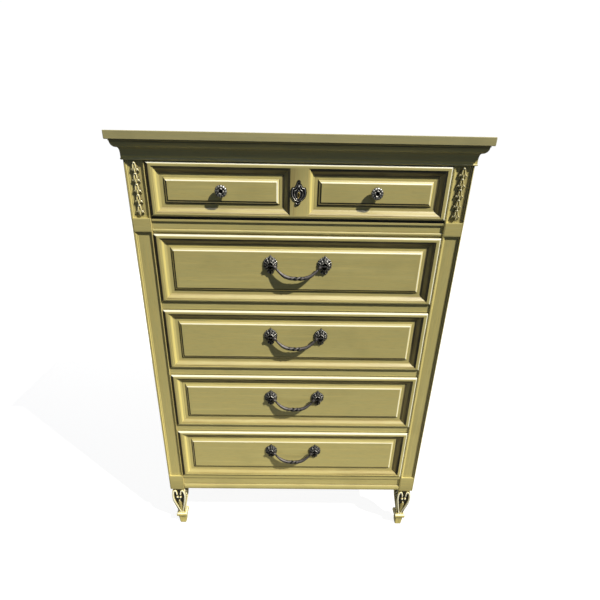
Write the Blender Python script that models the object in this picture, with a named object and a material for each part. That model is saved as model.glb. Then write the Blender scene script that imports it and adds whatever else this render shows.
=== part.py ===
"""A tallboy: one wide drawer over four equal drawers, in a panelled case on four carved legs.

Run it in Blender. Lengths are in metres and +Z is up. The front faces -Y, and the origin is
on the floor under the middle of the top board.
"""
import math

import bmesh
import bpy
from mathutils import Matrix, Vector

# Clearances
SEAT_GAP = 0.0003
SLIDE_GAP = 0.0005
FRONT_GAP = 0.0015
BOLT_GAP = 0.0003
CUT_OVERRUN = 0.002
JOIN_OVERLAP = 0.0005

# Case, from the floor up
CASE_WIDTH = 0.880
CASE_DEPTH = 0.450
LEG_HEIGHT = 0.192
BASE_RAIL_HEIGHT = 0.068
LOWER_OPENING_HEIGHT = 0.199
DIVIDER_HEIGHT = 0.025
FRIEZE_HEIGHT = 0.0445
TOP_OPENING_HEIGHT = 0.1395
TOP_RAIL_DROP = 0.001
CORNICE_HEIGHT = 0.0475
TOP_THICKNESS = 0.020
LOWER_DRAWERS = 4

# Top board
TOP_OVERHANG = 0.028
TOP_BACK_OVERHANG = 0.008
TOP_ARRIS = 0.0012

# Cornice moulding
CORNICE_REACH = 0.021
CORNICE_FILLET = 0.003
CORNICE_QUIRK = 0.0015
OVOLO_HEIGHT = 0.015
OVOLO_REACH = 0.0115
COVE_HEIGHT = 0.014
COVE_REACH = 0.0035
FASCIA_REACH = 0.004
CURVE_STEPS = 6

# Posts
POST_WIDTH = 0.052
POST_DEPTH = 0.052
POST_ROUND = 0.0025
POST_ROUND_STEPS = 3
POST_FILLET = 0.003
RECESS_STEP = 0.0015
RECESS_SLOPE = 0.004
RECESS_SLOPE_DROP = 0.0014
RECESS_GROOVE = 0.0012
UPPER_BLOCK_HEIGHT = 0.037
LOWER_BLOCK_HEIGHT = 0.060
RECESS_PAST_CORNICE = 0.015

# Panels and rails
SIDE_THICKNESS = 0.018
BACK_THICKNESS = 0.006
BACK_INSET = 0.004
RAIL_RECESS = 0.006
RAIL_FILLET_HEIGHT = 0.0135
RAIL_FILLET_REACH = 0.0038
FRIEZE_BEAD_HEIGHT = 0.009
FRIEZE_BEAD_REACH = 0.003
FRIEZE_TOE = 0.003
BASE_BEAD_HEIGHT = 0.023
BASE_BEAD_REACH = 0.0055
RAIL_ARRIS = 0.0008

# Legs
LEG_INSET = 0.001
NECK_INSET = 0.004
NECK_HEIGHT = 0.006
ANKLE_WIDTH = 0.026
COLLAR_WIDTH = 0.038
COLLAR_HEIGHT = 0.014
COLLAR_ROUND = 0.003
FOOT_HEIGHT = 0.042
FOOT_TOP_WIDTH = 0.028
FOOT_WIDTH = 0.022
LEG_CARVING_DEPTH = 0.0055
LEG_RIB_SLOPE = 0.003
LEG_CORNER_ROUND = 0.003
LEG_CORNER_LIMIT_SHARE = 0.25
# Each row: height above the collar, swell from ankle to full width, half width of the
# hollow between the scrolls, and depth of that hollow.
LEG_BODY_SHARES = (
    (0.000, 0.00, 0.04, 0.00),
    (0.050, 0.02, 0.10, 0.20),
    (0.160, 0.19, 0.32, 0.80),
    (0.330, 0.51, 0.48, 1.00),
    (0.520, 0.85, 0.53, 1.00),
    (0.660, 0.98, 0.40, 1.00),
    (0.760, 1.00, 0.18, 1.00),
    (0.850, 0.93, 0.08, 1.00),
    (0.920, 0.80, 0.07, 0.90),
    (0.965, 0.62, 0.07, 0.50),
    (1.000, 0.42, 0.06, 0.10),
)

# Drawer fronts
FRONT_THICKNESS = 0.024
FRONT_PROUD = 0.0025
LIP_RADIUS = 0.005
CREST_WIDTH = 0.0065
QUIRK_DEPTH = 0.001
OGEE_WIDTH = 0.017
OGEE_DROP = 0.010
GROOVE_WIDTH = 0.0105
BEVEL_STEP = 0.0015
BEVEL_WIDTH = 0.0065
BEVEL_RISE = 0.0045
TOP_STILE_WIDTH = 0.046
LIP_STEPS = 4
OGEE_STEPS = 6

# Drawer boxes
DRAWER_SIDE_THICKNESS = 0.012
DRAWER_SIDE_CLEARANCE = 0.008
DRAWER_TOP_CLEARANCE = 0.010
DRAWER_REAR_CLEARANCE = 0.012
DRAWER_BOTTOM_THICKNESS = 0.005
DRAWER_BOTTOM_LIFT = 0.010
GROOVE_DEPTH = 0.006
DRAWER_BACK_DROP = 0.012

# Runner racks
RACK_BOARD = 0.008
RUNNER_HEIGHT = 0.020
RUNNER_GUIDE_HEIGHT = 0.018
RUNNER_BEARING = 0.014

# Garlands
GARLAND_WIDTH = 0.022
GARLAND_THICKNESS = 0.009
GARLAND_DROP = 0.004
GARLAND_BELLS = 5
BELL_PITCH = 0.0261
# Each row: place down one bellflower, half width and thickness.
BELL_SHARES = (
    (0.00, 0.34, 0.45),
    (0.20, 0.42, 0.80),
    (0.50, 0.58, 1.00),
    (0.84, 1.00, 0.80),
    (0.93, 0.86, 0.66),
)
# The last bellflower's tip, past the foot of its row.
BELL_TIP_SHARES = (0.20, 0.17, 0.22)
# Each row: place across the garland and height off the panel.
GARLAND_SECTION_SHARES = ((-1.0, 0.35), (-0.5, 0.84), (0.0, 1.0), (0.5, 0.84), (1.0, 0.35))

# Knobs
KNOB_DIAMETER = 0.033
KNOB_REACH = 0.020
KNOB_SHANK_DIAMETER = 0.0045
KNOB_SHANK_LENGTH = 0.014
KNOB_SEGMENTS = 20
KNOB_SMOOTH_ANGLE = math.radians(40)
# Each row: radius and height off the drawer front.
KNOB_SHARES = (
    (0.50, 0.00), (0.50, 0.08), (0.36, 0.14), (0.30, 0.36), (0.48, 0.46), (0.88, 0.56),
    (1.00, 0.68), (0.97, 0.80), (0.80, 0.92), (0.56, 0.97), (0.36, 0.90), (0.24, 0.93),
    (0.12, 1.00),
)

# Keyhole plate
PLATE_WIDTH = 0.040
PLATE_HEIGHT = 0.071
PLATE_DROP = 0.002
PLATE_THICKNESS = 0.0022
PLATE_CROWN = 0.0022
KEYHOLE_WIDTH = 0.006
KEYHOLE_HEIGHT = 0.017
KEYHOLE_DROP = 0.003
KEYHOLE_DEPTH = 0.012
KEYHOLE_POCKET_SEGMENTS = 16
KEYHOLE_RIM_WIDTH_SHARE = 2.0
KEYHOLE_RIM_HEIGHT_SHARE = 1.3
# Right half of the outline, from the top point down to the bottom point.
PLATE_OUTLINE_SHARES = (
    (0.00, 1.00), (0.20, 0.94), (0.26, 0.78), (0.46, 0.62), (0.44, 0.48), (0.74, 0.46),
    (0.98, 0.28), (1.00, 0.02), (0.90, -0.22), (0.68, -0.44), (0.40, -0.58), (0.24, -0.70),
    (0.34, -0.84), (0.20, -0.98), (0.00, -1.00),
)

# Bail pulls
PULL_SPACING = 0.151
PULL_RISE = 0.020
ROSETTE_WIDTH = 0.041
ROSETTE_HEIGHT = 0.055
ROSETTE_THICKNESS = 0.0018
ROSETTE_CROWN = 0.0055
EYE_DROP = 0.004
# Right half of the outline, from the top point down to the bottom point.
ROSETTE_OUTLINE_SHARES = (
    (0.00, 1.00), (0.16, 0.84), (0.52, 0.68), (0.86, 0.40), (0.97, 0.08), (0.95, -0.26),
    (0.62, -0.54), (0.50, -0.76), (0.24, -0.88), (0.00, -1.00),
)
# Each row: size of the ring and its height in the dome.
ROSETTE_DOME_SHARES = ((0.96, 0.0), (0.86, 0.36), (0.66, 0.60), (0.48, 0.84), (0.34, 1.0))
BOLT_DIAMETER = 0.004
BOLT_TAIL = 0.006
EYE_DIAMETER = 0.011
EYE_WALL = 0.0025
PIVOT_REACH = 0.0115
NUT_WIDTH = 0.008
NUT_THICKNESS = 0.003
BOLT_SEGMENTS = 12

# Bails
BAIL_PIN_DIAMETER = 0.004
BAIL_END_DIAMETER = 0.0072
BAIL_MIDDLE_DIAMETER = 0.0095
BAIL_PIN_PAST_EYE = 0.0015
BAIL_DROP = 0.031
BAIL_BOW = 0.006
BAIL_TURN = 0.004
BAIL_TURN_SHARE = 0.25
BAIL_STEPS = 20
BAIL_SIDES = 8
BAIL_DROP_POWER = 3
BAIL_BOW_POWER = 2
BAIL_SMOOTH_ANGLE = math.radians(60)

# Slides
DRAWER_TRAVEL = 0.300

# Levels and planes worked out from the sizes above
BASE_TOP = LEG_HEIGHT + BASE_RAIL_HEIGHT
LOWER_PITCH = LOWER_OPENING_HEIGHT + DIVIDER_HEIGHT
FRIEZE_BOTTOM = BASE_TOP + LOWER_DRAWERS * LOWER_PITCH - DIVIDER_HEIGHT
TOP_OPENING_FLOOR = FRIEZE_BOTTOM + FRIEZE_HEIGHT
TOP_OPENING_CEILING = TOP_OPENING_FLOOR + TOP_OPENING_HEIGHT
CORNICE_BOTTOM = TOP_OPENING_CEILING + TOP_RAIL_DROP
TOP_UNDERSIDE = CORNICE_BOTTOM + CORNICE_HEIGHT
TOP_DEPTH = TOP_OVERHANG + CASE_DEPTH + TOP_BACK_OVERHANG
FACE_Y = TOP_OVERHANG - TOP_DEPTH / 2
BACK_Y = FACE_Y + CASE_DEPTH
RAIL_Y = FACE_Y + RAIL_RECESS
POST_BACK_Y = FACE_Y + POST_DEPTH
BACK_PANEL_Y = BACK_Y - BACK_INSET - BACK_THICKNESS
CREST_Y = FACE_Y - FRONT_PROUD
FRONT_BACK_Y = CREST_Y + FRONT_THICKNESS
FIELD_Y = CREST_Y + QUIRK_DEPTH + OGEE_DROP - BEVEL_STEP - BEVEL_RISE
HALF_WIDTH = CASE_WIDTH / 2
HALF_OPENING = HALF_WIDTH - POST_WIDTH
SIDE_INNER_X = HALF_WIDTH - SIDE_THICKNESS
RECESS_DEPTH = RECESS_STEP + 2 * RECESS_SLOPE_DROP + RECESS_GROOVE
PIVOT_Y = FIELD_Y - PIVOT_REACH

# Finishes: colour, roughness, metallic
PAINT = ((0.37, 0.33, 0.13, 1.0), 0.45, 0.0)
CREAM = ((0.72, 0.66, 0.40, 1.0), 0.5, 0.0)
BARE_WOOD = ((0.55, 0.40, 0.24, 1.0), 0.7, 0.0)
PLYWOOD = ((0.50, 0.37, 0.22, 1.0), 0.75, 0.0)
METAL = ((0.10, 0.09, 0.08, 1.0), 0.4, 0.9)


def clear_scene():
    for item in list(bpy.data.objects):
        bpy.data.objects.remove(item, do_unlink=True)


def finish_material(name, finish):
    colour, roughness, metallic = finish
    material = bpy.data.materials.new(name)
    material.use_nodes = True
    shader = material.node_tree.nodes["Principled BSDF"]
    shader.inputs["Base Color"].default_value = colour
    shader.inputs["Roughness"].default_value = roughness
    shader.inputs["Metallic"].default_value = metallic
    material.diffuse_color = colour
    return material


def add_object(name, bm, finish, carrier=None, smooth=None):
    """Turn a bmesh drawn in world places into a named object, carried by an empty if given."""
    bmesh.ops.recalc_face_normals(bm, faces=bm.faces)
    mesh = bpy.data.meshes.new(name)
    bm.to_mesh(mesh)
    bm.free()
    if carrier:
        mesh.transform(Matrix.Translation(-carrier.location))
    if smooth:
        mesh.shade_smooth()
        mesh.set_sharp_from_angle(angle=smooth)
    item = bpy.data.objects.new(name, mesh)
    item.parent = carrier
    bpy.context.scene.collection.objects.link(item)
    item.data.materials.append(finish_material(name + "_finish", finish))
    return item


def add_carrier(name, place):
    """An empty that a moving body's pieces hang on, on the axis that it moves along or about."""
    carrier = bpy.data.objects.new(name, None)
    carrier.location = place
    bpy.context.scene.collection.objects.link(carrier)
    return carrier


def add_arris(item, width):
    bevel = item.modifiers.new("arris", "BEVEL")
    bevel.width = width
    bevel.segments = 1
    bevel.limit_method = "ANGLE"


def combine(item, bm, operation, carrier=None):
    """Take the bmesh's closed bodies out of the item, or join them to it."""
    tool = add_object("tool_" + item.name, bm, BARE_WOOD, carrier)
    tool.hide_render = True
    tool.display_type = "WIRE"
    boolean = item.modifiers.new(operation.lower(), "BOOLEAN")
    boolean.object = tool
    boolean.operation = operation
    boolean.solver = "EXACT"


def fill_loft(bm, sections, closed=False):
    """Join rings of equal count one to the next; the ends are capped unless the loft is closed."""
    rings = [[bm.verts.new(point) for point in section] for section in sections]
    pairs = list(zip(rings, rings[1:]))
    if closed:
        pairs.append((rings[-1], rings[0]))
    else:
        bm.faces.new(rings[0])
        bm.faces.new(rings[-1])
    for first, second in pairs:
        for here, (a, b) in enumerate(zip(first, second)):
            bm.faces.new((first[here - 1], a, b, second[here - 1]))
    return bm


def loft(sections, closed=False):
    return fill_loft(bmesh.new(), sections, closed)


def fill_box(bm, low, high):
    (x0, y0, z0), (x1, y1, z1) = low, high
    sections = [[(x0, y0, z), (x1, y0, z), (x1, y1, z), (x0, y1, z)] for z in (z0, z1)]
    return fill_loft(bm, sections)


def box(low, high):
    return fill_box(bmesh.new(), low, high)


def circle(centre, radius, segments, across, up):
    """Points of a circle whose plane holds the two unit vectors."""
    turns = [2 * math.pi * step / segments for step in range(segments)]
    return [centre + radius * (math.cos(t) * across + math.sin(t) * up) for t in turns]


AXIS_X = Vector((1, 0, 0))
AXIS_Y = Vector((0, 1, 0))
AXIS_Z = Vector((0, 0, 1))


def fill_rod_y(bm, x, y0, y1, z, radius, segments=BOLT_SEGMENTS):
    ends = [circle(Vector((x, y, z)), radius, segments, AXIS_X, AXIS_Z) for y in (y0, y1)]
    return fill_loft(bm, ends)


def rectangle(bm, bounds, inset, y):
    x0, x1, z0, z1 = bounds
    corners = ((x0 + inset, z0 + inset), (x1 - inset, z0 + inset),
               (x1 - inset, z1 - inset), (x0 + inset, z1 - inset))
    return [bm.verts.new((x, y, z)) for x, z in corners]


def bridge(bm, outer, inner):
    for here in range(len(outer)):
        bm.faces.new((outer[here - 1], outer[here], inner[here], inner[here - 1]))


def face_round_panels(bm, outer, panels):
    """Fill the flat face between an outer rectangle and the panels in it, side by side."""
    near, far = [outer[0], outer[1]], [outer[2], outer[3]]
    for ring in reversed(panels):
        near += [ring[1], ring[0]]
    for ring in panels:
        far += [ring[3], ring[2]]
    bm.faces.new(near)
    bm.faces.new(far)
    bm.faces.new((outer[3], outer[0], panels[0][0], panels[0][3]))
    bm.faces.new((outer[1], outer[2], panels[-1][2], panels[-1][1]))
    for before, after in zip(panels, panels[1:]):
        bm.faces.new((before[1], after[0], after[3], before[2]))


def panelled_board(bounds, back_y, face_y, edge, panels, profile):
    """A board whose front has a worked edge and panels. Edge and profile list insets and
    depths behind the face, from the outside in."""
    bm = bmesh.new()
    ring = rectangle(bm, bounds, 0, back_y)
    bm.faces.new(ring)
    for inset, depth in edge:
        inner = rectangle(bm, bounds, inset, face_y + depth)
        bridge(bm, ring, inner)
        ring = inner
    openings = [rectangle(bm, panel, 0, face_y) for panel in panels]
    face_round_panels(bm, ring, openings)
    for panel, start in zip(panels, openings):
        ring = start
        for inset, depth in profile:
            inner = rectangle(bm, panel, inset, face_y + depth)
            bridge(bm, ring, inner)
            ring = inner
        bm.faces.new(ring)
    return bm


def mirrored(outline):
    """Close a right half outline, from top to bottom, with its left half."""
    return list(outline) + [(-x, z) for x, z in outline[-2:0:-1]]


def opening_floor(drawer):
    """Height of the floor of a drawer's opening; drawer 1 is the top one."""
    if drawer == 1:
        return TOP_OPENING_FLOOR
    return BASE_TOP + (LOWER_DRAWERS + 1 - drawer) * LOWER_PITCH


def opening_height(drawer):
    return TOP_OPENING_HEIGHT if drawer == 1 else LOWER_OPENING_HEIGHT


def make_top_board():
    half = HALF_WIDTH + TOP_OVERHANG
    low = (-half, FACE_Y - TOP_OVERHANG, TOP_UNDERSIDE)
    high = (half, BACK_Y + TOP_BACK_OVERHANG, TOP_UNDERSIDE + TOP_THICKNESS)
    add_arris(add_object("top_board", box(low, high), PAINT), TOP_ARRIS)


def cornice_profile():
    """Reach and height of the cornice's points, from its back top corner round the front: fillet,
    ovolo, cove and plain fascia."""
    top = TOP_UNDERSIDE - SEAT_GAP
    points = [(SEAT_GAP, top), (CORNICE_REACH, top)]
    start = top - CORNICE_FILLET
    inner = CORNICE_REACH - CORNICE_QUIRK - OVOLO_REACH
    points.append((CORNICE_REACH, start))
    for step in range(CURVE_STEPS + 1):
        turn = math.pi / 2 * step / CURVE_STEPS
        points.append((inner + OVOLO_REACH * math.cos(turn), start - OVOLO_HEIGHT * math.sin(turn)))
    foot = start - OVOLO_HEIGHT - COVE_HEIGHT
    for step in range(CURVE_STEPS + 1):
        turn = math.pi / 2 * step / CURVE_STEPS
        reach = FASCIA_REACH + COVE_REACH * (1 - math.sin(turn))
        points.append((reach, foot + COVE_HEIGHT * math.cos(turn)))
    points += [(FASCIA_REACH, CORNICE_BOTTOM), (SEAT_GAP, CORNICE_BOTTOM)]
    return points


def make_cornice():
    """Three mitred lengths; the front one is worked on the rail that ties the posts' tops."""
    profile = cornice_profile()
    front = [[(side * (HALF_WIDTH + reach - SEAT_GAP), FACE_Y - reach, z) for reach, z in profile]
             for side in (-1, 1)]
    cornice = add_object("cornice_rail", loft(front), PAINT)
    half = HALF_OPENING - SEAT_GAP
    low = (-half, FACE_Y - SEAT_GAP - JOIN_OVERLAP, TOP_OPENING_CEILING)
    combine(cornice, box(low, (half, POST_BACK_Y, TOP_UNDERSIDE - SEAT_GAP)), "UNION")
    for side, name in ((-1, "cornice_return_left"), (1, "cornice_return_right")):
        ends = [[(side * (HALF_WIDTH + reach), FACE_Y - reach + SEAT_GAP, z) for reach, z in profile],
                [(side * (HALF_WIDTH + reach), BACK_Y, z) for reach, z in profile]]
        add_object(name, loft(ends), PAINT)


def recess_slope():
    """Inset and depth down one side of a post's recess, from its edge."""
    inset = RECESS_STEP / 2
    depth = RECESS_STEP
    points = [(0, 0), (inset, depth)]
    for last in (False, True):
        inset += RECESS_SLOPE
        depth += RECESS_SLOPE_DROP
        points.append((inset, depth))
        if not last:
            depth += RECESS_GROOVE
            points.append((inset, depth))
    return points


def recess_levels():
    """Bottom and top of a post's lower and upper recess. The upper one runs up behind the
    cornice."""
    middle = FRIEZE_BOTTOM + FRIEZE_HEIGHT / 2
    return ((LEG_HEIGHT + LOWER_BLOCK_HEIGHT, middle - UPPER_BLOCK_HEIGHT / 2),
            (middle + UPPER_BLOCK_HEIGHT / 2, CORNICE_BOTTOM + RECESS_PAST_CORNICE))


def recess(bm, x0, x1, z0, z1):
    """A channel with moulded sides and square ends, to be taken out of a post's face."""
    slope = [(0, -CUT_OVERRUN)] + recess_slope()
    plan = [(x0 + POST_FILLET + inset, FACE_Y + depth) for inset, depth in slope]
    plan += [(x1 - POST_FILLET - inset, FACE_Y + depth) for inset, depth in reversed(slope)]
    return fill_loft(bm, [[(x, y, z) for x, y in plan] for z in (z0, z1)])


def garland(x):
    """A string of bellflowers standing on the floor of a post's upper recess."""
    floor_y = FACE_Y + RECESS_DEPTH
    rows = [(count + down, width, thick) for count in range(GARLAND_BELLS)
            for down, width, thick in BELL_SHARES]
    past, width, thick = BELL_TIP_SHARES
    rows.append((GARLAND_BELLS + past, width, thick))
    sections = []
    for down, width, thick in rows:
        z = CORNICE_BOTTOM - GARLAND_DROP - down * BELL_PITCH
        half = width * GARLAND_WIDTH / 2
        rise = thick * GARLAND_THICKNESS
        back = [(x + half, floor_y + JOIN_OVERLAP, z), (x - half, floor_y + JOIN_OVERLAP, z)]
        front = [(x + across * half, floor_y - height * rise, z)
                 for across, height in GARLAND_SECTION_SHARES]
        sections.append(back + front)
    return loft(sections)


def post_plan(x0, x1):
    """Square behind, with both front corners rounded."""
    corner = []
    for step in range(POST_ROUND_STEPS + 1):
        turn = math.pi / 2 * step / POST_ROUND_STEPS
        corner.append((POST_ROUND * (1 - math.cos(turn)), FACE_Y + POST_ROUND * (1 - math.sin(turn))))
    left = [(x0, POST_BACK_Y)] + [(x0 + inset, y) for inset, y in corner]
    right = [(x1 - inset, y) for inset, y in reversed(corner)] + [(x1, POST_BACK_Y)]
    return left + right


def make_posts():
    for side, name in ((-1, "front_post_left"), (1, "front_post_right")):
        x0, x1 = sorted((side * HALF_OPENING, side * HALF_WIDTH))
        ends = [[(x, y, z) for x, y in post_plan(x0, x1)] for z in (LEG_HEIGHT, TOP_UNDERSIDE - SEAT_GAP)]
        post = add_object(name, loft(ends), PAINT)
        cutter = bmesh.new()
        for z0, z1 in recess_levels():
            recess(cutter, x0, x1, z0, z1)
        combine(post, cutter, "DIFFERENCE")
        combine(post, garland((x0 + x1) / 2), "UNION")


def make_case_panels():
    y0 = POST_BACK_Y + SEAT_GAP
    for side, name in ((-1, "side_panel_left"), (1, "side_panel_right")):
        x0, x1 = sorted((side * SIDE_INNER_X, side * HALF_WIDTH))
        low, high = (x0, y0, LEG_HEIGHT), (x1, BACK_Y, TOP_UNDERSIDE - SEAT_GAP)
        add_object(name, box(low, high), PAINT)
    half = SIDE_INNER_X - SEAT_GAP
    low = (-half, BACK_PANEL_Y, LEG_HEIGHT)
    high = (half, BACK_PANEL_Y + BACK_THICKNESS, TOP_UNDERSIDE - SEAT_GAP)
    add_object("back_panel", box(low, high), PLYWOOD)


def make_rail(name, profile, finish=PAINT):
    """A rail between the posts; the profile lists Y and Z round its section."""
    half = HALF_OPENING - SEAT_GAP
    ends = [[(x, y, z) for y, z in profile] for x in (-half, half)]
    return add_object(name, loft(ends), finish)


def bead_points(middle, radius, reach):
    """Half round that stands on the rail's face, from its top down."""
    points = []
    for step in range(CURVE_STEPS + 1):
        turn = math.pi / 2 - math.pi * step / CURVE_STEPS
        points.append((RAIL_Y - reach * math.cos(turn), middle + radius * math.sin(turn)))
    return points


def moulded_rail_profile(bottom, top, bead_height, bead_reach, toe):
    """Back corner, top fillet, flat face, bead and the narrow toe below it."""
    fillet_y = RAIL_Y - RAIL_FILLET_REACH
    fillet_foot = top - RAIL_FILLET_HEIGHT
    points = [(POST_BACK_Y, bottom), (POST_BACK_Y, top), (fillet_y, top),
              (fillet_y, fillet_foot), (RAIL_Y, fillet_foot)]
    points += bead_points(bottom + toe + bead_height / 2, bead_height / 2, bead_reach)
    if toe:
        points.append((RAIL_Y, bottom))
    return points


def make_rails():
    make_rail("frieze_rail", moulded_rail_profile(
        FRIEZE_BOTTOM, FRIEZE_BOTTOM + FRIEZE_HEIGHT, FRIEZE_BEAD_HEIGHT, FRIEZE_BEAD_REACH, FRIEZE_TOE))
    for drawer, name in ((2, "divider_rail_upper"), (3, "divider_rail_middle"), (4, "divider_rail_lower")):
        top = opening_floor(drawer)
        bottom = top - DIVIDER_HEIGHT
        plain = ((POST_BACK_Y, bottom), (POST_BACK_Y, top), (RAIL_Y, top), (RAIL_Y, bottom))
        add_arris(make_rail(name, plain), RAIL_ARRIS)
    make_rail("base_rail", moulded_rail_profile(
        LEG_HEIGHT, BASE_TOP, BASE_BEAD_HEIGHT, BASE_BEAD_REACH, 0))


def leg_section(centre_x, centre_y, z, half, hollow, depth):
    """One level of a leg: a square with rounded corners and a hollow in each face."""
    limit = LEG_CORNER_LIMIT_SHARE * half
    corner = min(LEG_CORNER_ROUND, limit)
    slope = min(LEG_RIB_SLOPE, limit)
    floor = half - depth
    side = ((corner - half, -half), (-hollow - slope, -half), (-hollow, -floor),
            (hollow, -floor), (hollow + slope, -half), (half - corner, -half))
    points = []
    for cos, sin in ((1, 0), (0, 1), (-1, 0), (0, -1)):
        points += [(centre_x + cos * x - sin * y, centre_y + sin * x + cos * y, z) for x, y in side]
    return points


def leg_stations():
    """Height, half width, hollow and hollow depth of a leg's levels, from the floor up."""
    full = POST_WIDTH / 2 - LEG_INSET
    ankle = ANKLE_WIDTH / 2
    collar = COLLAR_WIDTH / 2
    collar_top = FOOT_HEIGHT + COLLAR_HEIGHT
    hollow = LEG_BODY_SHARES[0][2] * ankle
    rows = [(0, FOOT_WIDTH / 2), (FOOT_HEIGHT - COLLAR_ROUND, FOOT_TOP_WIDTH / 2),
            (FOOT_HEIGHT, collar - COLLAR_ROUND), (FOOT_HEIGHT + COLLAR_ROUND, collar),
            (collar_top - 2 * COLLAR_ROUND, collar), (collar_top - COLLAR_ROUND, collar - COLLAR_ROUND)]
    stations = [(z, half, hollow, 0) for z, half in rows]
    body = LEG_HEIGHT - NECK_HEIGHT - collar_top
    for rise, swell, width, depth in LEG_BODY_SHARES:
        half = ankle + swell * (full - ankle)
        stations.append((collar_top + rise * body, half, width * half, depth * LEG_CARVING_DEPTH))
    neck = POST_WIDTH / 2 - NECK_INSET
    last = stations[-1][2]
    stations.append((LEG_HEIGHT - NECK_HEIGHT / 2, neck, last, 0))
    stations.append((LEG_HEIGHT - SEAT_GAP, neck, last, 0))
    return stations


def make_legs():
    for side, hand in ((-1, "left"), (1, "right")):
        x = side * (HALF_WIDTH - POST_WIDTH / 2)
        for end, y in (("front", FACE_Y + POST_WIDTH / 2), ("rear", BACK_Y - POST_WIDTH / 2)):
            sections = [leg_section(x, y, *station) for station in leg_stations()]
            add_object("leg_{}_{}".format(end, hand), loft(sections), CREAM)


def drawer_half_width():
    return HALF_OPENING - DRAWER_SIDE_CLEARANCE


def make_runner_racks():
    """A board on each side panel with a runner and guide for every drawer. Its foot is a deep
    cleat that the leg tops are fixed to."""
    y0, y1 = POST_BACK_Y + SEAT_GAP, BACK_PANEL_Y - SEAT_GAP
    outer = SIDE_INNER_X - SEAT_GAP
    board = outer - RACK_BOARD
    guide = drawer_half_width() + SLIDE_GAP
    inner = drawer_half_width() - RUNNER_BEARING
    section = [(outer, LEG_HEIGHT), (outer, opening_floor(1) + RUNNER_GUIDE_HEIGHT)]
    for drawer in range(1, LOWER_DRAWERS + 2):
        top = opening_floor(drawer)
        if drawer > 1:
            under = opening_floor(drawer - 1) - RUNNER_HEIGHT
            section += [(inner, under), (board, under), (board, top + RUNNER_GUIDE_HEIGHT)]
        section += [(guide, top + RUNNER_GUIDE_HEIGHT), (guide, top), (inner, top)]
    section.append((inner, LEG_HEIGHT))
    for side, name in ((-1, "runner_rack_left"), (1, "runner_rack_right")):
        add_object(name, loft([[(side * x, y, z) for x, z in section] for y in (y0, y1)]), BARE_WOOD)


def front_bounds(drawer):
    half = HALF_OPENING - FRONT_GAP
    floor = opening_floor(drawer)
    return (-half, half, floor + FRONT_GAP, floor + opening_height(drawer) - FRONT_GAP)


def front_panels(drawer):
    """Rectangles, at the inner edge of the crest, that the panels of a drawer front fill."""
    x0, x1, z0, z1 = front_bounds(drawer)
    border = LIP_RADIUS + CREST_WIDTH
    x0, x1, z0, z1 = x0 + border, x1 - border, z0 + border, z1 - border
    if drawer > 1:
        return [(x0, x1, z0, z1)]
    half = TOP_STILE_WIDTH / 2
    return [(x0, -half, z0, z1), (half, x1, z0, z1)]


def lip_profile():
    points = []
    for step in range(LIP_STEPS + 1):
        turn = math.pi / 2 * step / LIP_STEPS
        points.append((LIP_RADIUS * (1 - math.cos(turn)), LIP_RADIUS * (1 - math.sin(turn))))
    return points


def panel_profile():
    """Quirk, ogee, flat groove, small step and bevel up to the raised field."""
    points = [(0, QUIRK_DEPTH)]
    for step in range(1, OGEE_STEPS + 1):
        share = step / OGEE_STEPS
        drop = OGEE_DROP * (1 - math.cos(math.pi * share)) / 2
        points.append((OGEE_WIDTH * share, QUIRK_DEPTH + drop))
    inset = OGEE_WIDTH + GROOVE_WIDTH
    depth = QUIRK_DEPTH + OGEE_DROP
    points.append((inset, depth))
    points.append((inset, depth - BEVEL_STEP))
    points.append((inset + BEVEL_WIDTH, depth - BEVEL_STEP - BEVEL_RISE))
    return points


def bottom_level(drawer):
    """Height of the underside of a drawer's bottom panel."""
    return opening_floor(drawer) + SEAT_GAP + DRAWER_BOTTOM_LIFT


def bottom_groove(bm, drawer, low, high):
    """A slot for the bottom panel between the two corners' X and Y."""
    z = bottom_level(drawer)
    fill_box(bm, (low[0], low[1], z - SEAT_GAP),
             (high[0], high[1], z + DRAWER_BOTTOM_THICKNESS + SEAT_GAP))


def hardware_places(drawer):
    """X and Z of what is fastened to a drawer front."""
    if drawer == 1:
        return [((x0 + x1) / 2, (z0 + z1) / 2) for x0, x1, z0, z1 in front_panels(drawer)]
    x0, x1, z0, z1 = front_bounds(drawer)
    z = (z0 + z1) / 2 + PULL_RISE - EYE_DROP
    return [(side * PULL_SPACING / 2, z) for side in (-1, 1)]


def make_drawer_front(drawer, carrier):
    bm = panelled_board(front_bounds(drawer), FRONT_BACK_Y, CREST_Y, lip_profile(),
                        front_panels(drawer), panel_profile())
    front = add_object("drawer_{}_front".format(drawer), bm, PAINT, carrier)
    cutter = bmesh.new()
    half = drawer_half_width() - DRAWER_SIDE_THICKNESS + GROOVE_DEPTH
    bottom_groove(cutter, drawer, (-half, FRONT_BACK_Y - GROOVE_DEPTH), (half, FRONT_BACK_Y + CUT_OVERRUN))
    for x, z in hardware_places(drawer):
        if drawer == 1:
            end = FIELD_Y + KNOB_SHANK_LENGTH + SEAT_GAP
            radius = KNOB_SHANK_DIAMETER / 2 + BOLT_GAP
        else:
            end = FRONT_BACK_Y + CUT_OVERRUN
            radius = BOLT_DIAMETER / 2 + BOLT_GAP
        fill_rod_y(cutter, x, FIELD_Y - CUT_OVERRUN, end, z, radius)
    if drawer == 1:
        fill_loft(cutter, [ellipse_ring(KEYHOLE_POCKET_SEGMENTS, 0, y, keyhole_level(),
                                        KEYHOLE_WIDTH / 2, KEYHOLE_HEIGHT / 2)
                           for y in (CREST_Y - CUT_OVERRUN, CREST_Y + KEYHOLE_DEPTH)])
    combine(front, cutter, "DIFFERENCE", carrier)


def drawer_rear_y():
    """Back face of a drawer's back."""
    return BACK_PANEL_Y - DRAWER_REAR_CLEARANCE


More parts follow.
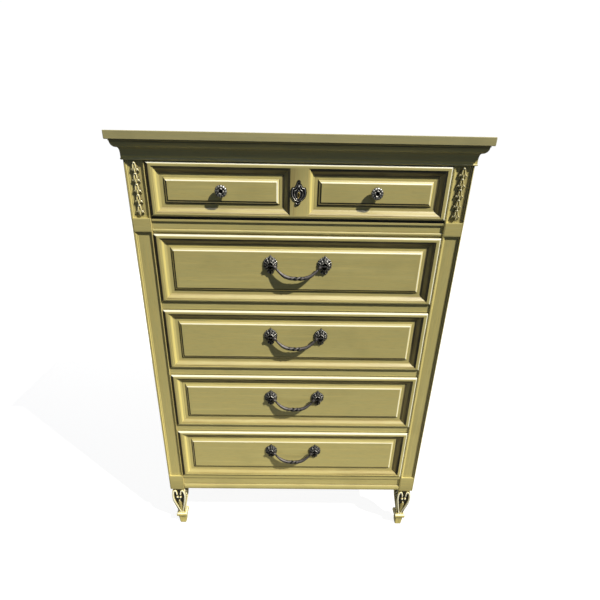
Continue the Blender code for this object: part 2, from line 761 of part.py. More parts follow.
def make_drawer_box(drawer, carrier):
    floor = opening_floor(drawer) + SEAT_GAP
    ceiling = opening_floor(drawer) + opening_height(drawer) - DRAWER_TOP_CLEARANCE
    front_y, rear_y = FRONT_BACK_Y + SEAT_GAP, drawer_rear_y()
    outer = drawer_half_width()
    inner = outer - DRAWER_SIDE_THICKNESS
    slot_low = bottom_level(drawer) - SEAT_GAP
    slot_high = slot_low + DRAWER_BOTTOM_THICKNESS + 2 * SEAT_GAP
    section = ((outer, floor), (outer, ceiling), (inner, ceiling), (inner, slot_high),
               (inner + GROOVE_DEPTH, slot_high), (inner + GROOVE_DEPTH, slot_low),
               (inner, slot_low), (inner, floor))
    for side, hand in ((-1, "left"), (1, "right")):
        ends = [[(side * x, y, z) for x, z in section] for y in (front_y, rear_y)]
        add_object("drawer_{}_side_{}".format(drawer, hand), loft(ends), BARE_WOOD, carrier)
    half = inner - SEAT_GAP
    back_front_y = rear_y - DRAWER_SIDE_THICKNESS
    low, high = (-half, back_front_y, slot_high), (half, rear_y, ceiling - DRAWER_BACK_DROP)
    add_object("drawer_{}_back".format(drawer), box(low, high), BARE_WOOD, carrier)
    half = inner + GROOVE_DEPTH - SEAT_GAP
    low = (-half, FRONT_BACK_Y - GROOVE_DEPTH + SEAT_GAP, slot_low + SEAT_GAP)
    high = (half, rear_y, slot_low + SEAT_GAP + DRAWER_BOTTOM_THICKNESS)
    add_object("drawer_{}_bottom".format(drawer), box(low, high), PLYWOOD, carrier)


def make_knobs(carrier):
    radius = KNOB_DIAMETER / 2
    shank = KNOB_SHANK_DIAMETER / 2
    rows = [(shank, -KNOB_SHANK_LENGTH), (shank, SEAT_GAP)]
    rows += [(share * radius, SEAT_GAP + height * (KNOB_REACH - SEAT_GAP)) for share, height in KNOB_SHARES]
    for name, (x, z) in zip(("knob_left", "knob_right"), hardware_places(1)):
        sections = [circle(Vector((x, FIELD_Y - off, z)), size, KNOB_SEGMENTS, AXIS_X, AXIS_Z)
                    for size, off in rows]
        add_object(name, loft(sections), METAL, carrier, smooth=KNOB_SMOOTH_ANGLE)


def outline_ring(outline, x, y, z, half_width, half_height, size=1):
    return [(x + size * half_width * across, y, z + size * half_height * up) for across, up in outline]


def ellipse_ring(count, x, y, z, half_width, half_height):
    """An ellipse of as many points as an outline, clockwise from its top as outlines run."""
    turns = [2 * math.pi * step / count for step in range(count)]
    return [(x + half_width * math.sin(t), y, z + half_height * math.cos(t)) for t in turns]


def keyhole_level():
    """Height of the middle of the keyhole."""
    return sum(front_bounds(1)[2:]) / 2 - KEYHOLE_DROP


def make_keyhole_plate(carrier):
    hole_z = keyhole_level()
    z = sum(front_bounds(1)[2:]) / 2 - PLATE_DROP
    back = CREST_Y - SEAT_GAP
    edge = back - PLATE_THICKNESS
    outline = mirrored(PLATE_OUTLINE_SHARES)
    half_width, half_height = PLATE_WIDTH / 2, PLATE_HEIGHT / 2
    hole = (KEYHOLE_WIDTH / 2, KEYHOLE_HEIGHT / 2)
    count = len(outline)
    rim = (KEYHOLE_RIM_WIDTH_SHARE * hole[0], KEYHOLE_RIM_HEIGHT_SHARE * hole[1])
    sections = [ellipse_ring(count, 0, back, hole_z, *hole),
                outline_ring(outline, 0, back, z, half_width, half_height),
                outline_ring(outline, 0, edge, z, half_width, half_height),
                ellipse_ring(count, 0, edge - PLATE_CROWN, hole_z, *rim),
                ellipse_ring(count, 0, edge, hole_z, *hole)]
    add_object("keyhole_plate", loft(sections, closed=True), METAL, carrier)


def make_pull_posts(drawer, carrier):
    """Rosettes, each cast in one with the eye in front that holds a bail end and the bolt
    behind, which goes through the drawer front to its nut."""
    outline = mirrored(ROSETTE_OUTLINE_SHARES)
    count = len(outline)
    half_width, half_height = ROSETTE_WIDTH / 2, ROSETTE_HEIGHT / 2
    bolt, eye, nut = BOLT_DIAMETER / 2, EYE_DIAMETER / 2, NUT_WIDTH / 2
    back = FIELD_Y - SEAT_GAP
    edge = back - ROSETTE_THICKNESS
    nut_y = FRONT_BACK_Y + SEAT_GAP
    tip_y = PIVOT_Y - BAIL_PIN_DIAMETER / 2 - EYE_WALL
    for name, (x, eye_z) in zip(("left", "right"), hardware_places(drawer)):
        z = eye_z + EYE_DROP
        rows = ((bolt, nut_y + NUT_THICKNESS + BOLT_TAIL), (bolt, nut_y + NUT_THICKNESS),
                (nut, nut_y + NUT_THICKNESS), (nut, nut_y), (bolt, nut_y), (bolt, back))
        sections = [ellipse_ring(count, x, y, eye_z, size, size) for size, y in rows]
        sections.append(outline_ring(outline, x, back, z, half_width, half_height))
        for size, rise in ROSETTE_DOME_SHARES:
            middle = z + (eye_z - z) * rise
            sections.append(outline_ring(outline, x, edge - rise * ROSETTE_CROWN, middle,
                                         half_width, half_height, size))
        rows = ((eye, edge - ROSETTE_CROWN), (eye, tip_y + EYE_WALL / 2), (eye - EYE_WALL / 2, tip_y))
        sections += [ellipse_ring(count, x, y, eye_z, size, size) for size, y in rows]
        post = add_object("pull_post_{}_{}".format(drawer, name), loft(sections), METAL, carrier)
        reach = eye + CUT_OVERRUN
        hole = BAIL_PIN_DIAMETER / 2 + BOLT_GAP
        ends = [circle(Vector((x + end * reach, PIVOT_Y, eye_z)), hole, BOLT_SEGMENTS, AXIS_Y, AXIS_Z)
                for end in (-1, 1)]
        combine(post, loft(ends), "DIFFERENCE", carrier)


def bail_path():
    """Points of a bail from pin end to pin end, about the middle of its axis, with diameters."""
    eye = EYE_DIAMETER / 2
    pin_x = PULL_SPACING / 2 + eye + BAIL_PIN_PAST_EYE
    start_x = PULL_SPACING / 2 - eye - BAIL_PIN_PAST_EYE - BAIL_END_DIAMETER / 2
    bow_x = start_x - BAIL_TURN
    right = []
    for step in range(BAIL_STEPS // 2 + 1):
        turn = math.pi / 2 * step / (BAIL_STEPS // 2)
        share = math.sin(turn)
        drop = BAIL_DROP * (1 - share ** BAIL_DROP_POWER)
        bow = BAIL_BOW * (1 - share ** BAIL_BOW_POWER)
        width = BAIL_MIDDLE_DIAMETER + (BAIL_END_DIAMETER - BAIL_MIDDLE_DIAMETER) * share
        right.append((Vector((bow_x * share, -bow, -drop)), width))
    last = right.pop()
    right.append((last[0] - Vector((0, 0, BAIL_TURN)), last[1]))
    short = BAIL_TURN_SHARE * BAIL_TURN
    right.append((Vector((bow_x + short, 0, -short)), BAIL_END_DIAMETER))
    right.append((Vector((start_x, 0, 0)), BAIL_PIN_DIAMETER))
    right.append((Vector((pin_x, 0, 0)), BAIL_PIN_DIAMETER))
    left = [(Vector((-point.x, point.y, point.z)), width) for point, width in reversed(right[1:])]
    return left + right


def sweep(points, widths, sides):
    """Rings square to a path, each turned on from the last one without a twist."""
    sections = []
    across = None
    for here, point in enumerate(points):
        before, after = points[max(here - 1, 0)], points[min(here + 1, len(points) - 1)]
        along = (after - before).normalized()
        guide = across if across else AXIS_Y
        across = (guide - guide.dot(along) * along).normalized()
        sections.append(circle(point, widths[here] / 2, sides, across, along.cross(across)))
    return sections


def make_bail(drawer, carrier):
    points = [point + carrier.location for point, width in bail_path()]
    widths = [width for point, width in bail_path()]
    add_object("bail_{}".format(drawer), loft(sweep(points, widths, BAIL_SIDES)), METAL, carrier,
               smooth=BAIL_SMOOTH_ANGLE)


def make_drawers():
    for drawer in range(1, LOWER_DRAWERS + 2):
        middle = opening_floor(drawer) + opening_height(drawer) / 2
        carrier = add_carrier("slide_{}".format(drawer), (0, FACE_Y, middle))
        make_drawer_front(drawer, carrier)
        make_drawer_box(drawer, carrier)
        if drawer == 1:
            make_knobs(carrier)
            make_keyhole_plate(carrier)
            continue
        make_pull_posts(drawer, carrier)
        eye_z = hardware_places(drawer)[0][1]
        hinge = add_carrier("bail_axis_{}".format(drawer), (0, PIVOT_Y, eye_z))
        make_bail(drawer, hinge)


def main():
    clear_scene()
    make_top_board()
    make_cornice()
    make_posts()
    make_case_panels()
    make_rails()
    make_legs()
    make_runner_racks()
    make_drawers()


main()
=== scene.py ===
import math

import bmesh
import bpy
import numpy as np
from mathutils import Matrix, Vector


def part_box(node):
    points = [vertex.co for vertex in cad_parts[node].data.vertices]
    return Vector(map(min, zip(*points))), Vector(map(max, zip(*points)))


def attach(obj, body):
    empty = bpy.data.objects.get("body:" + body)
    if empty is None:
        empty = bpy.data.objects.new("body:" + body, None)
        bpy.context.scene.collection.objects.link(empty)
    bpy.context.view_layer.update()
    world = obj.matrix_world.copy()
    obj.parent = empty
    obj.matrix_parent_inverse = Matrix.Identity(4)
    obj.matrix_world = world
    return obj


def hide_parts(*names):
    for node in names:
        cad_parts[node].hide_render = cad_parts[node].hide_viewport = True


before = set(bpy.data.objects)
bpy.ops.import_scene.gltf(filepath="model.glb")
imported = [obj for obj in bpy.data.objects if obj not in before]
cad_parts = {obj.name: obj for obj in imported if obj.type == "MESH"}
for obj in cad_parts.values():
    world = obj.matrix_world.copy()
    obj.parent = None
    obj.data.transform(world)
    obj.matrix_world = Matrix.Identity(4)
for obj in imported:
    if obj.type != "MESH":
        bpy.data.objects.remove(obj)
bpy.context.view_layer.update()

MM = 0.001
QUARTER = math.pi / 2


# ---- meshes

class Shape:
    """Points, faces and per-point tone of one piece while it is being built; the tone is glazing
    and painted shade above zero, rubbed paint and painted highlights below zero.
    """

    def __init__(self):
        self.points, self.glaze, self.faces, self.slots = [], [], [], []
        self.creases = set()

    def point(self, place, glaze):
        self.points.append(tuple(float(v) for v in place))
        self.glaze.append(float(glaze))
        return len(self.points) - 1

    def face(self, ids, slot=0):
        self.faces.append(tuple(ids))
        self.slots.append(slot)

    def crease(self, a, b):
        self.creases.add((min(a, b), max(a, b)))

    def grid(self, places, glaze, slot=0, caps=(True, True), loop=False):
        """Rows of points, each closed on itself and joined to the next one. caps says whether
        the first and the last row are filled; loop joins the last row to the first."""
        places = np.asarray(places, float)
        rows, count = places.shape[:2]
        first = len(self.points)
        self.points += [tuple(p) for p in places.reshape(-1, 3).tolist()]
        self.glaze += np.asarray(glaze, float).reshape(-1).tolist()
        for r in range(rows if loop else rows - 1):
            a, b = first + r * count, first + (r + 1) % rows * count
            for c in range(count):
                d = (c + 1) % count
                self.face((a + c, a + d, b + d, b + c), slot)
        if caps[0]:
            self.face(range(first, first + count), slot)
        if caps[1]:
            self.face(range(first + (rows - 1) * count, first + rows * count), slot)
        return first


def make(name, shape, materials, body, replaces=(), smooth=30.0):
    """Turn a shape into a piece that rides on a body; edges sharper than smooth stay sharp."""
    mesh = bpy.data.meshes.new(name)
    mesh.from_pydata(shape.points, [], shape.faces)
    for material in materials:
        mesh.materials.append(material)
    mesh.polygons.foreach_set("material_index", shape.slots)
    # The tone per point: glazing and painted shade above zero, rubbed paint and painted highlights
    # below.
    layer = mesh.attributes.new("glaze", "FLOAT", "POINT")
    layer.data.foreach_set("value", shape.glaze)
    mesh.validate()
    turn_outward(mesh)
    mesh.shade_smooth()
    mesh.set_sharp_from_angle(angle=math.radians(smooth))
    if shape.creases:
        sharp = (mesh.attributes.get("sharp_edge")
                 or mesh.attributes.new("sharp_edge", "BOOLEAN", "EDGE"))
        for edge in mesh.edges:
            if tuple(sorted(edge.vertices)) in shape.creases:
                sharp.data[edge.index].value = True
    piece = bpy.data.objects.new(name, mesh)
    bpy.context.scene.collection.objects.link(piece)
    if replaces:
        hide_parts(*replaces)
    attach(piece, body)


def turn_outward(mesh):
    bm = bmesh.new()
    bm.from_mesh(mesh)
    bmesh.ops.recalc_face_normals(bm, faces=bm.faces)
    bm.to_mesh(mesh)
    bm.free()


# ---- materials

class Nodes:
    """Short calls for building a material's nodes."""

    def __init__(self, name):
        self.material = bpy.data.materials.new(name)
        self.material.use_nodes = True
        self.tree = self.material.node_tree
        self.shader = self.tree.nodes["Principled BSDF"]
        self.place = self.new("TexCoord", {}).outputs["Object"]

    def link(self, source, target):
        if isinstance(source, (int, float, tuple)):
            target.default_value = source
        else:
            self.tree.links.new(source, target)

    def new(self, kind, inputs, **settings):
        """A node with its settings made, and then its inputs linked or set."""
        node = self.tree.nodes.new("ShaderNode" + kind)
        for name, value in settings.items():
            setattr(node, name, value)
        for name, value in inputs.items():
            self.link(value, node.inputs[name])
        return node

    def stretch(self, scale):
        return self.new("Mapping", {"Vector": self.place, "Scale": scale}).outputs["Vector"]

    def noise(self, vector, scale, detail=4.0, rough=0.55, warp=0.0):
        return self.new("TexNoise", {"Vector": vector, "Scale": scale, "Detail": detail,
                                     "Roughness": rough, "Distortion": warp}).outputs["Fac"]

    def ramp(self, value, low, high, start=0.0, end=1.0):
        inputs = {"Value": value, "From Min": low, "From Max": high, "To Min": start, "To Max": end}
        return self.new("MapRange", inputs, interpolation_type="SMOOTHSTEP").outputs["Result"]

    def math(self, operation, a, b):
        return self.new("Math", {0: a, 1: b}, operation=operation).outputs[0]

    def mix(self, share, a, b, blend="MIX"):
        node = self.new("Mix", {0: share, 6: a, 7: b}, data_type="RGBA", blend_type=blend)
        return node.outputs[2]

    def attribute(self, name):
        return self.new("Attribute", {}, attribute_name=name).outputs["Fac"]

    def surface(self, colour, roughness):
        self.link(colour, self.shader.inputs["Base Color"])
        self.link(roughness, self.shader.inputs["Roughness"])

    def bump(self, height, strength, distance):
        node = self.new("Bump", {"Strength": strength, "Distance": distance, "Height": height})
        self.link(node.outputs["Normal"], self.shader.inputs["Normal"])


def rgb(red, green, blue):
    """Colour given as it shows on a screen, from 0 to 255."""
    def straight(value):
        value /= 255
        return value / 12.92 if value <= 0.04045 else ((value + 0.055) / 1.055) ** 2.4
    return (straight(red), straight(green), straight(blue), 1.0)


OLIVE = rgb(178, 168, 108)
OLIVE_WARM = rgb(186, 170, 104)
OLIVE_LIGHT = rgb(196, 184, 122)
OLIVE_DARK = rgb(150, 140, 88)
# Colours for the tone: warm brown and umber paint glazing and also shade; gold and pale paint
# rubbed paint and also highlights.
WARM_GLAZE_AND_SHADE = rgb(152, 128, 74)
UMBER_AND_SHADE = rgb(37, 36, 26)
GOLDEN_RUB_AND_HIGHLIGHT = rgb(214, 198, 118)
PALE_RUB_AND_HIGHLIGHT = rgb(222, 219, 196)
WOOD_LIGHT, WOOD_MID, WOOD_DARK = rgb(206, 172, 122), rgb(184, 146, 96), rgb(142, 104, 62)

# Scale of the grain noise for wood that runs along each axis
ALONG = {"X": (0.035, 1.0, 1.0), "Y": (1.0, 0.035, 1.0), "Z": (1.0, 1.0, 0.035)}


def painted(name, axis, tint=None):
    """Brushed paint over wood, streaked along the grain. Above zero the point's tone adds brown
    glazing, which also paints shade; below zero it rubs the paint pale, which also paints
    highlights."""
    n = Nodes(name)
    along = n.stretch(ALONG[axis])
    fine = n.noise(along, 1100.0, 3.0, 0.6)
    streak = n.noise(along, 330.0, 4.0, 0.6)
    broad = n.noise(along, 60.0, 3.0, 0.5, 0.3)
    cloud = n.noise(n.place, 8.0, 3.0, 0.5)
    colour = n.mix(n.ramp(streak, 0.36, 0.68, 0.0, 0.8), OLIVE, OLIVE_WARM)
    colour = n.mix(n.ramp(fine, 0.50, 0.76, 0.0, 0.6), colour, OLIVE_DARK)
    colour = n.mix(n.ramp(broad, 0.50, 0.74, 0.0, 0.35), colour, OLIVE_LIGHT)
    colour = n.mix(n.ramp(cloud, 0.50, 0.75, 0.0, 0.28), colour, OLIVE_DARK)
    glaze = n.attribute("glaze")
    wander = n.math("ADD", n.ramp(streak, 0.3, 0.7, -0.10, 0.10),
                    n.ramp(broad, 0.3, 0.7, -0.10, 0.10))
    # Tone above zero darkens to brown and umber as glazing and painted shade; below zero it
    # lightens to gold and pale as rubbed paint and painted highlights.
    left = n.math("ADD", glaze, wander)
    rubbed_and_highlight = n.math("SUBTRACT", wander, glaze)
    colour = n.mix(n.ramp(left, 0.10, 0.55, 0.0, 0.5), colour, WARM_GLAZE_AND_SHADE)
    colour = n.mix(n.ramp(left, 0.30, 0.95), colour, UMBER_AND_SHADE)
    colour = n.mix(n.ramp(rubbed_and_highlight, 0.05, 0.48), colour, GOLDEN_RUB_AND_HIGHLIGHT)
    colour = n.mix(n.ramp(rubbed_and_highlight, 0.45, 0.95), colour, PALE_RUB_AND_HIGHLIGHT)
    if tint:
        colour = n.mix(1.0, colour, tint, "MULTIPLY")
    n.surface(colour, n.ramp(fine, 0.3, 0.7, 0.34, 0.46))
    n.shader.inputs["Specular IOR Level"].default_value = 0.5
    n.bump(n.math("ADD", fine, streak), 0.12, 0.0005)
    return n.material


def bare(name, axis, light, mid, dark):
    """Sanded wood with growth rings that show as long bands."""
    n = Nodes(name)
    along = n.stretch(ALONG[axis])
    fine = n.noise(along, 700.0, 4.0, 0.65)
    rings = n.noise(along, 60.0, 3.0, 0.5, 1.2)
    cloud = n.noise(n.place, 7.0, 2.0)
    colour = n.mix(n.ramp(rings, 0.35, 0.65), light, mid)
    colour = n.mix(n.ramp(fine, 0.5, 0.75, 0.0, 0.6), colour, dark)
    colour = n.mix(n.ramp(cloud, 0.4, 0.7, 0.0, 0.25), colour, dark)
    n.surface(colour, n.ramp(fine, 0.3, 0.7, 0.55, 0.72))
    n.bump(n.math("ADD", fine, rings), 0.18, 0.0008)
    return n.material


def cast_metal(name, raised, hollow, metallic=0.8, smoothest=0.38):
    """Antiqued casting: rubbed bright where it is raised, black in the hollows."""
    n = Nodes(name)
    grain = n.noise(n.place, 900.0, 4.0, 0.6)
    patch = n.noise(n.place, 200.0, 3.0, 0.6)
    worn = n.math("SUBTRACT", n.ramp(patch, 0.3, 0.7, 0.75, 1.15), n.attribute("glaze"))
    colour = n.mix(n.ramp(worn, 0.15, 0.85), hollow, raised)
    colour = n.mix(n.ramp(grain, 0.52, 0.72, 0.0, 0.3), colour, hollow)
    n.surface(colour, n.ramp(worn, 0.2, 0.9, 0.58, smoothest))
    n.shader.inputs["Metallic"].default_value = metallic
    n.bump(grain, 0.12, 0.0004)
    return n.material


PAINT = {axis: painted("olive_paint_" + axis.lower(), axis) for axis in "XYZ"}
TOP_PAINT = painted("olive_paint_top", "X", (0.80, 0.83, 1.0, 1.0))
BARE = {axis: bare("bare_wood_" + axis.lower(), axis, WOOD_LIGHT, WOOD_MID, WOOD_DARK)
        for axis in "XYZ"}
PLY = bare("plywood_face", "X", rgb(200, 164, 112), rgb(176, 136, 88), rgb(132, 96, 58))
PEWTER = cast_metal("antiqued_pewter", rgb(156, 153, 146), rgb(10, 10, 10))
DULL_PEWTER = cast_metal("dull_pewter", rgb(90, 85, 82), rgb(10, 10, 9), 0.5, 0.5)
BRASS = cast_metal("aged_brass", rgb(214, 186, 104), rgb(58, 44, 18))


def repaint(node, material):
    mesh_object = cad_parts[node]
    for slot in mesh_object.material_slots:
        slot.material = material
    if not mesh_object.material_slots:
        mesh_object.data.materials.append(material)


# ---- curves

def centre(node):
    """Middle of a node's box."""
    return [(a + b) / 2 for a, b in zip(*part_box(node))]


def circle(count):
    """Evenly spaced angles once round."""
    return np.linspace(0, 2 * math.pi, count, endpoint=False)


def along_line(points, count, endpoint=True):
    """Evenly spaced places on a polyline."""
    steps = np.r_[0, np.cumsum(np.linalg.norm(np.diff(points, axis=0), axis=1))]
    at = np.linspace(0, steps[-1], count, endpoint=endpoint)
    return np.stack([np.interp(at, steps, points[:, k]) for k in range(points.shape[1])], 1)


def smooth_path(knots, count):
    """A smooth curve through the knots, sampled evenly by length."""
    knots = np.asarray(knots, float)
    knots = np.vstack([2 * knots[0] - knots[1], knots, 2 * knots[-1] - knots[-2]])
    out = []
    for i in range(1, len(knots) - 2):
        p0, p1, p2, p3 = knots[i - 1:i + 3]
        for t in np.linspace(0, 1, 16, endpoint=False):
            out.append(0.5 * (2 * p1 + (p2 - p0) * t + (2 * p0 - 5 * p1 + 4 * p2 - p3) * t ** 2
                              + (3 * p1 - p0 - 3 * p2 + p3) * t ** 3))
    out.append(knots[-2])
    return along_line(np.array(out), count)


def near_curve(points, curve):
    """Distance of each 2-D point to a polyline, and how far along it the nearest place is."""
    best = np.full(points.shape[:-1], 1e9)
    where = np.zeros(points.shape[:-1])
    count = len(curve) - 1
    for i in range(count):
        a, b = curve[i], curve[i + 1]
        d = b - a
        t = np.clip(((points - a) @ d) / max(d @ d, 1e-12), 0, 1)
        away = np.linalg.norm(points - (a + t[..., None] * d), axis=-1)
        closer = away < best
        best = np.where(closer, away, best)
        where = np.where(closer, (i + t) / count, where)
    return best, where


def ridge(distance, half_width):
    """Round-topped ridge: 1 on the line, 0 beyond its half width."""
    t = np.clip(distance / half_width, 0, 1)
    return np.sqrt(np.clip(1 - t * t, 0, 1))


def step(value, low, high):
    """Smooth rise from 0 at low to 1 at high."""
    t = np.clip((np.asarray(value, float) - low) / (high - low), 0, 1)
    return t * t * (3 - 2 * t)


def peak(value, middle, width):
    """Bell curve that is 1 at its middle."""
    return math.exp(-((value - middle) / width) ** 2)


# ---- camera, floor and light

# The fitted camera: picture width, focal length and shift in pixels, then its angles and its
# place, with the height counted from the top board
PICTURE, FOCAL, SHIFT, SENSOR = 600, 388.5, 8.522, 36.0
YAW, PITCH, ROLL = math.radians(0.7301), math.radians(23.25), math.radians(-1.0861)
CAMERA_X, CAMERA_Y, CAMERA_RISE = -0.02744, -1.23983, 0.0005

FLOOR_RADIUS, DOME_RADIUS = 6, 11.9
SKY_COLOUR, SKY_STRENGTH = (0.60, 0.76, 1.0, 1), 0.11
SUN_DIRECTION, SUN_TARGET, SUN_ENERGY = Vector((-1.5, 1.0, -1.95)), Vector((0, 0, 0.9)), 5.65
# Name, place, target, energy, colour, width and depth, and whether it lights the paint and
# shows as a gloss
AREA_LIGHTS = [
    ("overhead", (0.2, -1.6, 3.2), (0, -0.2, 0.9), 70.0, (1, 1, 0.98), (2.6, 1.6), False, True),
    ("bounce", (0, -0.75, 0.04), (0, -0.2, 0.12), 2.6, (1, 0.93, 0.74), (1.8, 0.5), True, False),
    ("rear_fill", (-0.9, 3.0, 0.9), (0, 0.2, 0.7), 70.0, (1, 0.98, 0.95), (2.4, 1.2), True, False)]


def add_camera():
    data = bpy.data.cameras.new("camera")
    camera = bpy.data.objects.new("camera", data)
    forward = Vector((math.sin(YAW) * math.cos(PITCH), math.cos(YAW) * math.cos(PITCH),
                      -math.sin(PITCH)))
    right = Vector((math.cos(YAW), -math.sin(YAW), 0))
    down = forward.cross(right)
    across = math.cos(ROLL) * right + math.sin(ROLL) * down
    below = -math.sin(ROLL) * right + math.cos(ROLL) * down
    matrix = Matrix((across, -below, -forward)).transposed().to_4x4()
    matrix.translation = Vector((CAMERA_X, CAMERA_Y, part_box("top_board")[1].z + CAMERA_RISE))
    camera.matrix_world = matrix
    data.sensor_width = SENSOR
    data.lens = FOCAL / PICTURE * SENSOR
    data.shift_x = SHIFT / PICTURE
    data.clip_start = 0.05
    bpy.context.scene.collection.objects.link(camera)
    bpy.context.scene.camera = camera


def add_light(name, kind, place, towards, energy, colour, **values):
    data = bpy.data.lights.new(name, kind)
    data.energy = energy
    data.color = colour
    for key, value in values.items():
        setattr(data, key, value)
    light = bpy.data.objects.new(name, data)
    light.location = place
    direction = Vector(towards) - Vector(place)
    light.rotation_euler = direction.to_track_quat("-Z", "Y").to_euler()
    bpy.context.scene.collection.objects.link(light)
    return light


def plain_surface(name, colour, glow):
    material = bpy.data.materials.new(name)
    material.use_nodes = True
    shader = material.node_tree.nodes["Principled BSDF"]
    for socket, value in (("Base Color", (colour, colour, colour, 1)), ("Roughness", 0.9),
                          ("Specular IOR Level", 0.0), ("Emission Color", (1, 1, 1, 1)),
                          ("Emission Strength", glow)):
        shader.inputs[socket].default_value = value
    return material


def add_studio():
    """A white floor and a white dome round everything, which throw no light on the object;
    then the world's light, the sun and the area lights."""
    mesh = bpy.data.meshes.new("floor")
    rim = [(FLOOR_RADIUS * math.cos(t), FLOOR_RADIUS * math.sin(t), 0) for t in circle(64)]
    mesh.from_pydata(rim, [], [tuple(range(len(rim)))])
    mesh.materials.append(plain_surface("pale_floor", 0.22, 0.90))
    floor = bpy.data.objects.new("floor", mesh)
    bpy.ops.mesh.primitive_uv_sphere_add(segments=48, ring_count=24, radius=DOME_RADIUS)
    dome = bpy.context.object
    dome.name = "backdrop"
    dome.data.materials.append(plain_surface("white_backdrop", 0.0, 1.02))
    bpy.context.scene.collection.objects.link(floor)
    for item in (floor, dome):
        item.visible_diffuse = False
        item.visible_glossy = False
        item.visible_shadow = item is floor
    world = bpy.data.worlds.new("studio")
    bpy.context.scene.world = world
    world.use_nodes = True
    background = world.node_tree.nodes["Background"]
    background.inputs[0].default_value = SKY_COLOUR
    background.inputs[1].default_value = SKY_STRENGTH
    place = SUN_TARGET - 4 * SUN_DIRECTION.normalized()
    add_light("key", "SUN", place, SUN_TARGET, SUN_ENERGY, (1.0, 0.97, 0.90),
              angle=math.radians(1.0))
    for name, place, towards, energy, colour, (width, depth), diffuse, glossy in AREA_LIGHTS:
        light = add_light(name, "AREA", place, towards, energy, colour,
                          shape="RECTANGLE", size=width, size_y=depth)
        light.visible_diffuse, light.visible_glossy = diffuse, glossy
    bpy.context.scene.view_settings.view_transform = "Standard"


# ---- drawer fronts

RAIL_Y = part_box("divider_rail_upper")[0].y
FACE_Y = RAIL_Y - 6 * MM
BACK_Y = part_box("side_panel_left")[1].y
FIELD_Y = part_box("drawer_2_front")[0].y + 5 * MM

MITRE = 0.04 * MM
STILE_HALF = 23 * MM

# Values for the bottom, right, top and left side: how far the panel's moulding is stretched,
# how wide the rounded lip is, and how far in the flat crest ends
SIDE_STRETCH = (0.988, 1.024, 1.035, 0.975)
LIP_WIDTHS = (7.2, 6.0, 6.2, 9.0)
CREST = (7.6, 12.0, 10.3, 13.4)

# From the crest's inner edge: how far in and how deep, then the tone of the bottom, right,
# top and left. The ogee lies between the two tables. The tone is brown glazing and also painted
# light: the top and right sides, which face away from the light, are painted dark as shade, the
# groove on top is painted lighter, the bevels on top and at the right are painted pale as
# highlights, and the lines at the foot of the bottom and left bevels are painted dark as shadow.
QUIRK = [(0, 0, 0.05, 0.3, 0.2, 0.05), (0.25, 0.15, -0.2, 0.9, 0.5, -0.35),
         (0.4, 0.9, -0.1, 1.0, 0.95, -0.2), (0.8, 1.05, 0.5, 1.0, 0.8, 0.5)]
GROOVE_AND_BEVEL = [
    (17.6, 11.05, 0.30, 0.8, 0.50, 0.45), (18.6, 11.05, 0.08, 0.85, 0.12, 0.1),
    (20.0, 11.05, -0.05, 0.75, -0.15, -0.12), (20.8, 11.05, -0.05, 0.15, -0.25, -0.1),
    (24.6, 11.0, 0, 0.05, -0.25, 0), (25.8, 11.0, 0.6, 0.1, -0.2, 0.6),
    (26.4, 11.0, 1.15, 0.4, 0, 1.15), (27.2, 11.0, 1.2, 1.0, 0.3, 1.2),
    (27.3, 9.75, 1.2, 0.9, 0.3, 1.2), (27.6, 9.5, 1.2, 0.3, 0.1, 1.2),
    (28.4, 9.0, 1.1, -0.3, 0.1, 1.1), (29.0, 8.6, 0.3, -0.45, 0.08, 0.3),
    (29.4, 8.3, -0.55, -0.5, 0.05, -0.65), (31.2, 7.0, -0.7, -0.7, -0.15, -0.8),
    (31.7, 6.6, -0.3, -0.8, -0.6, -0.3), (32.1, 6.3, 0.7, -0.85, -0.85, 0.7),
    (32.6, 5.9, 1.2, -0.9, -1.0, 1.25), (33.9, 5.1, 1.2, -0.8, -0.95, 1.25),
    (35.0, 5.0, 1.1, -0.4, -0.3, 1.25), (35.6, 5.0, 0.5, 0, 0, 0.9),
    (36.1, 5.0, 0.12, 0.04, 0.04, 0.12), (37.5, 5.0, 0, 0, 0, 0), (42.0, 5.0, 0, 0, 0, 0)]
# Tone of the ogee at the bottom and on the left: warm glazing, which also darkens the sunlit bottom
# ogee as painted shade, and on the left golden values painted as highlights.
OGEE_FOOT_GLAZE_AND_SHADE = (0.46, 0.44, 0.42, 0.40, 0.38, 0.35, 0.33, 0.32,
                   0.33, 0.35, 0.38, 0.40, 0.44, 0.42, 0.30, 0.37)
OGEE_LEFT_GLAZE_AND_HIGHLIGHT = (0.30, 0.10, -0.15, -0.22, -0.25, -0.38, -0.50, -0.50,
                   -0.35, -0.15, 0, 0, -0.10, -0.15, -0.10, 0.12)
OGEE_START, OGEE_WIDTH, OGEE_DROP = 0.8, 16.2, 10.0


def framed(shape, bounds, profile, filled=False):
    """Four mitred lengths of moulding inside a rectangle. Each row of the profile gives, for
    the bottom, right, top and left side, how far in it is and its tone, and one Y for all; the
    tone is glazing together with painted shade and highlights. Each side has its own end points,
    so that its tone stops at the mitre. filled says whether the last row is closed with a face."""
    x0, x1, z0, z1 = bounds
    rings = []
    for insets, y, glazes in profile:
        left, right, foot, head = x0 + insets[3], x1 - insets[1], z0 + insets[0], z1 - insets[2]
        ends = ((left + MITRE, foot), (right - MITRE, foot), (right, foot + MITRE),
                (right, head - MITRE), (right - MITRE, head), (left + MITRE, head),
                (left, head - MITRE), (left, foot + MITRE))
        rings.append([shape.point((x, y, z), glazes[i // 2]) for i, (x, z) in enumerate(ends)])
    join_rings(shape, rings)
    if filled:
        shape.face(rings[-1])
    return rings


def join_rings(shape, rings):
    """Faces between rings of eight points: level sides run along X, upright ones along Z."""
    for outer, inner in zip(rings, rings[1:]):
        for a in range(8):
            b = (a + 1) % 8
            shape.face((outer[a], outer[b], inner[b], inner[a]), 1 if a in (2, 6) else 0)
            shape.crease(outer[a], inner[a])


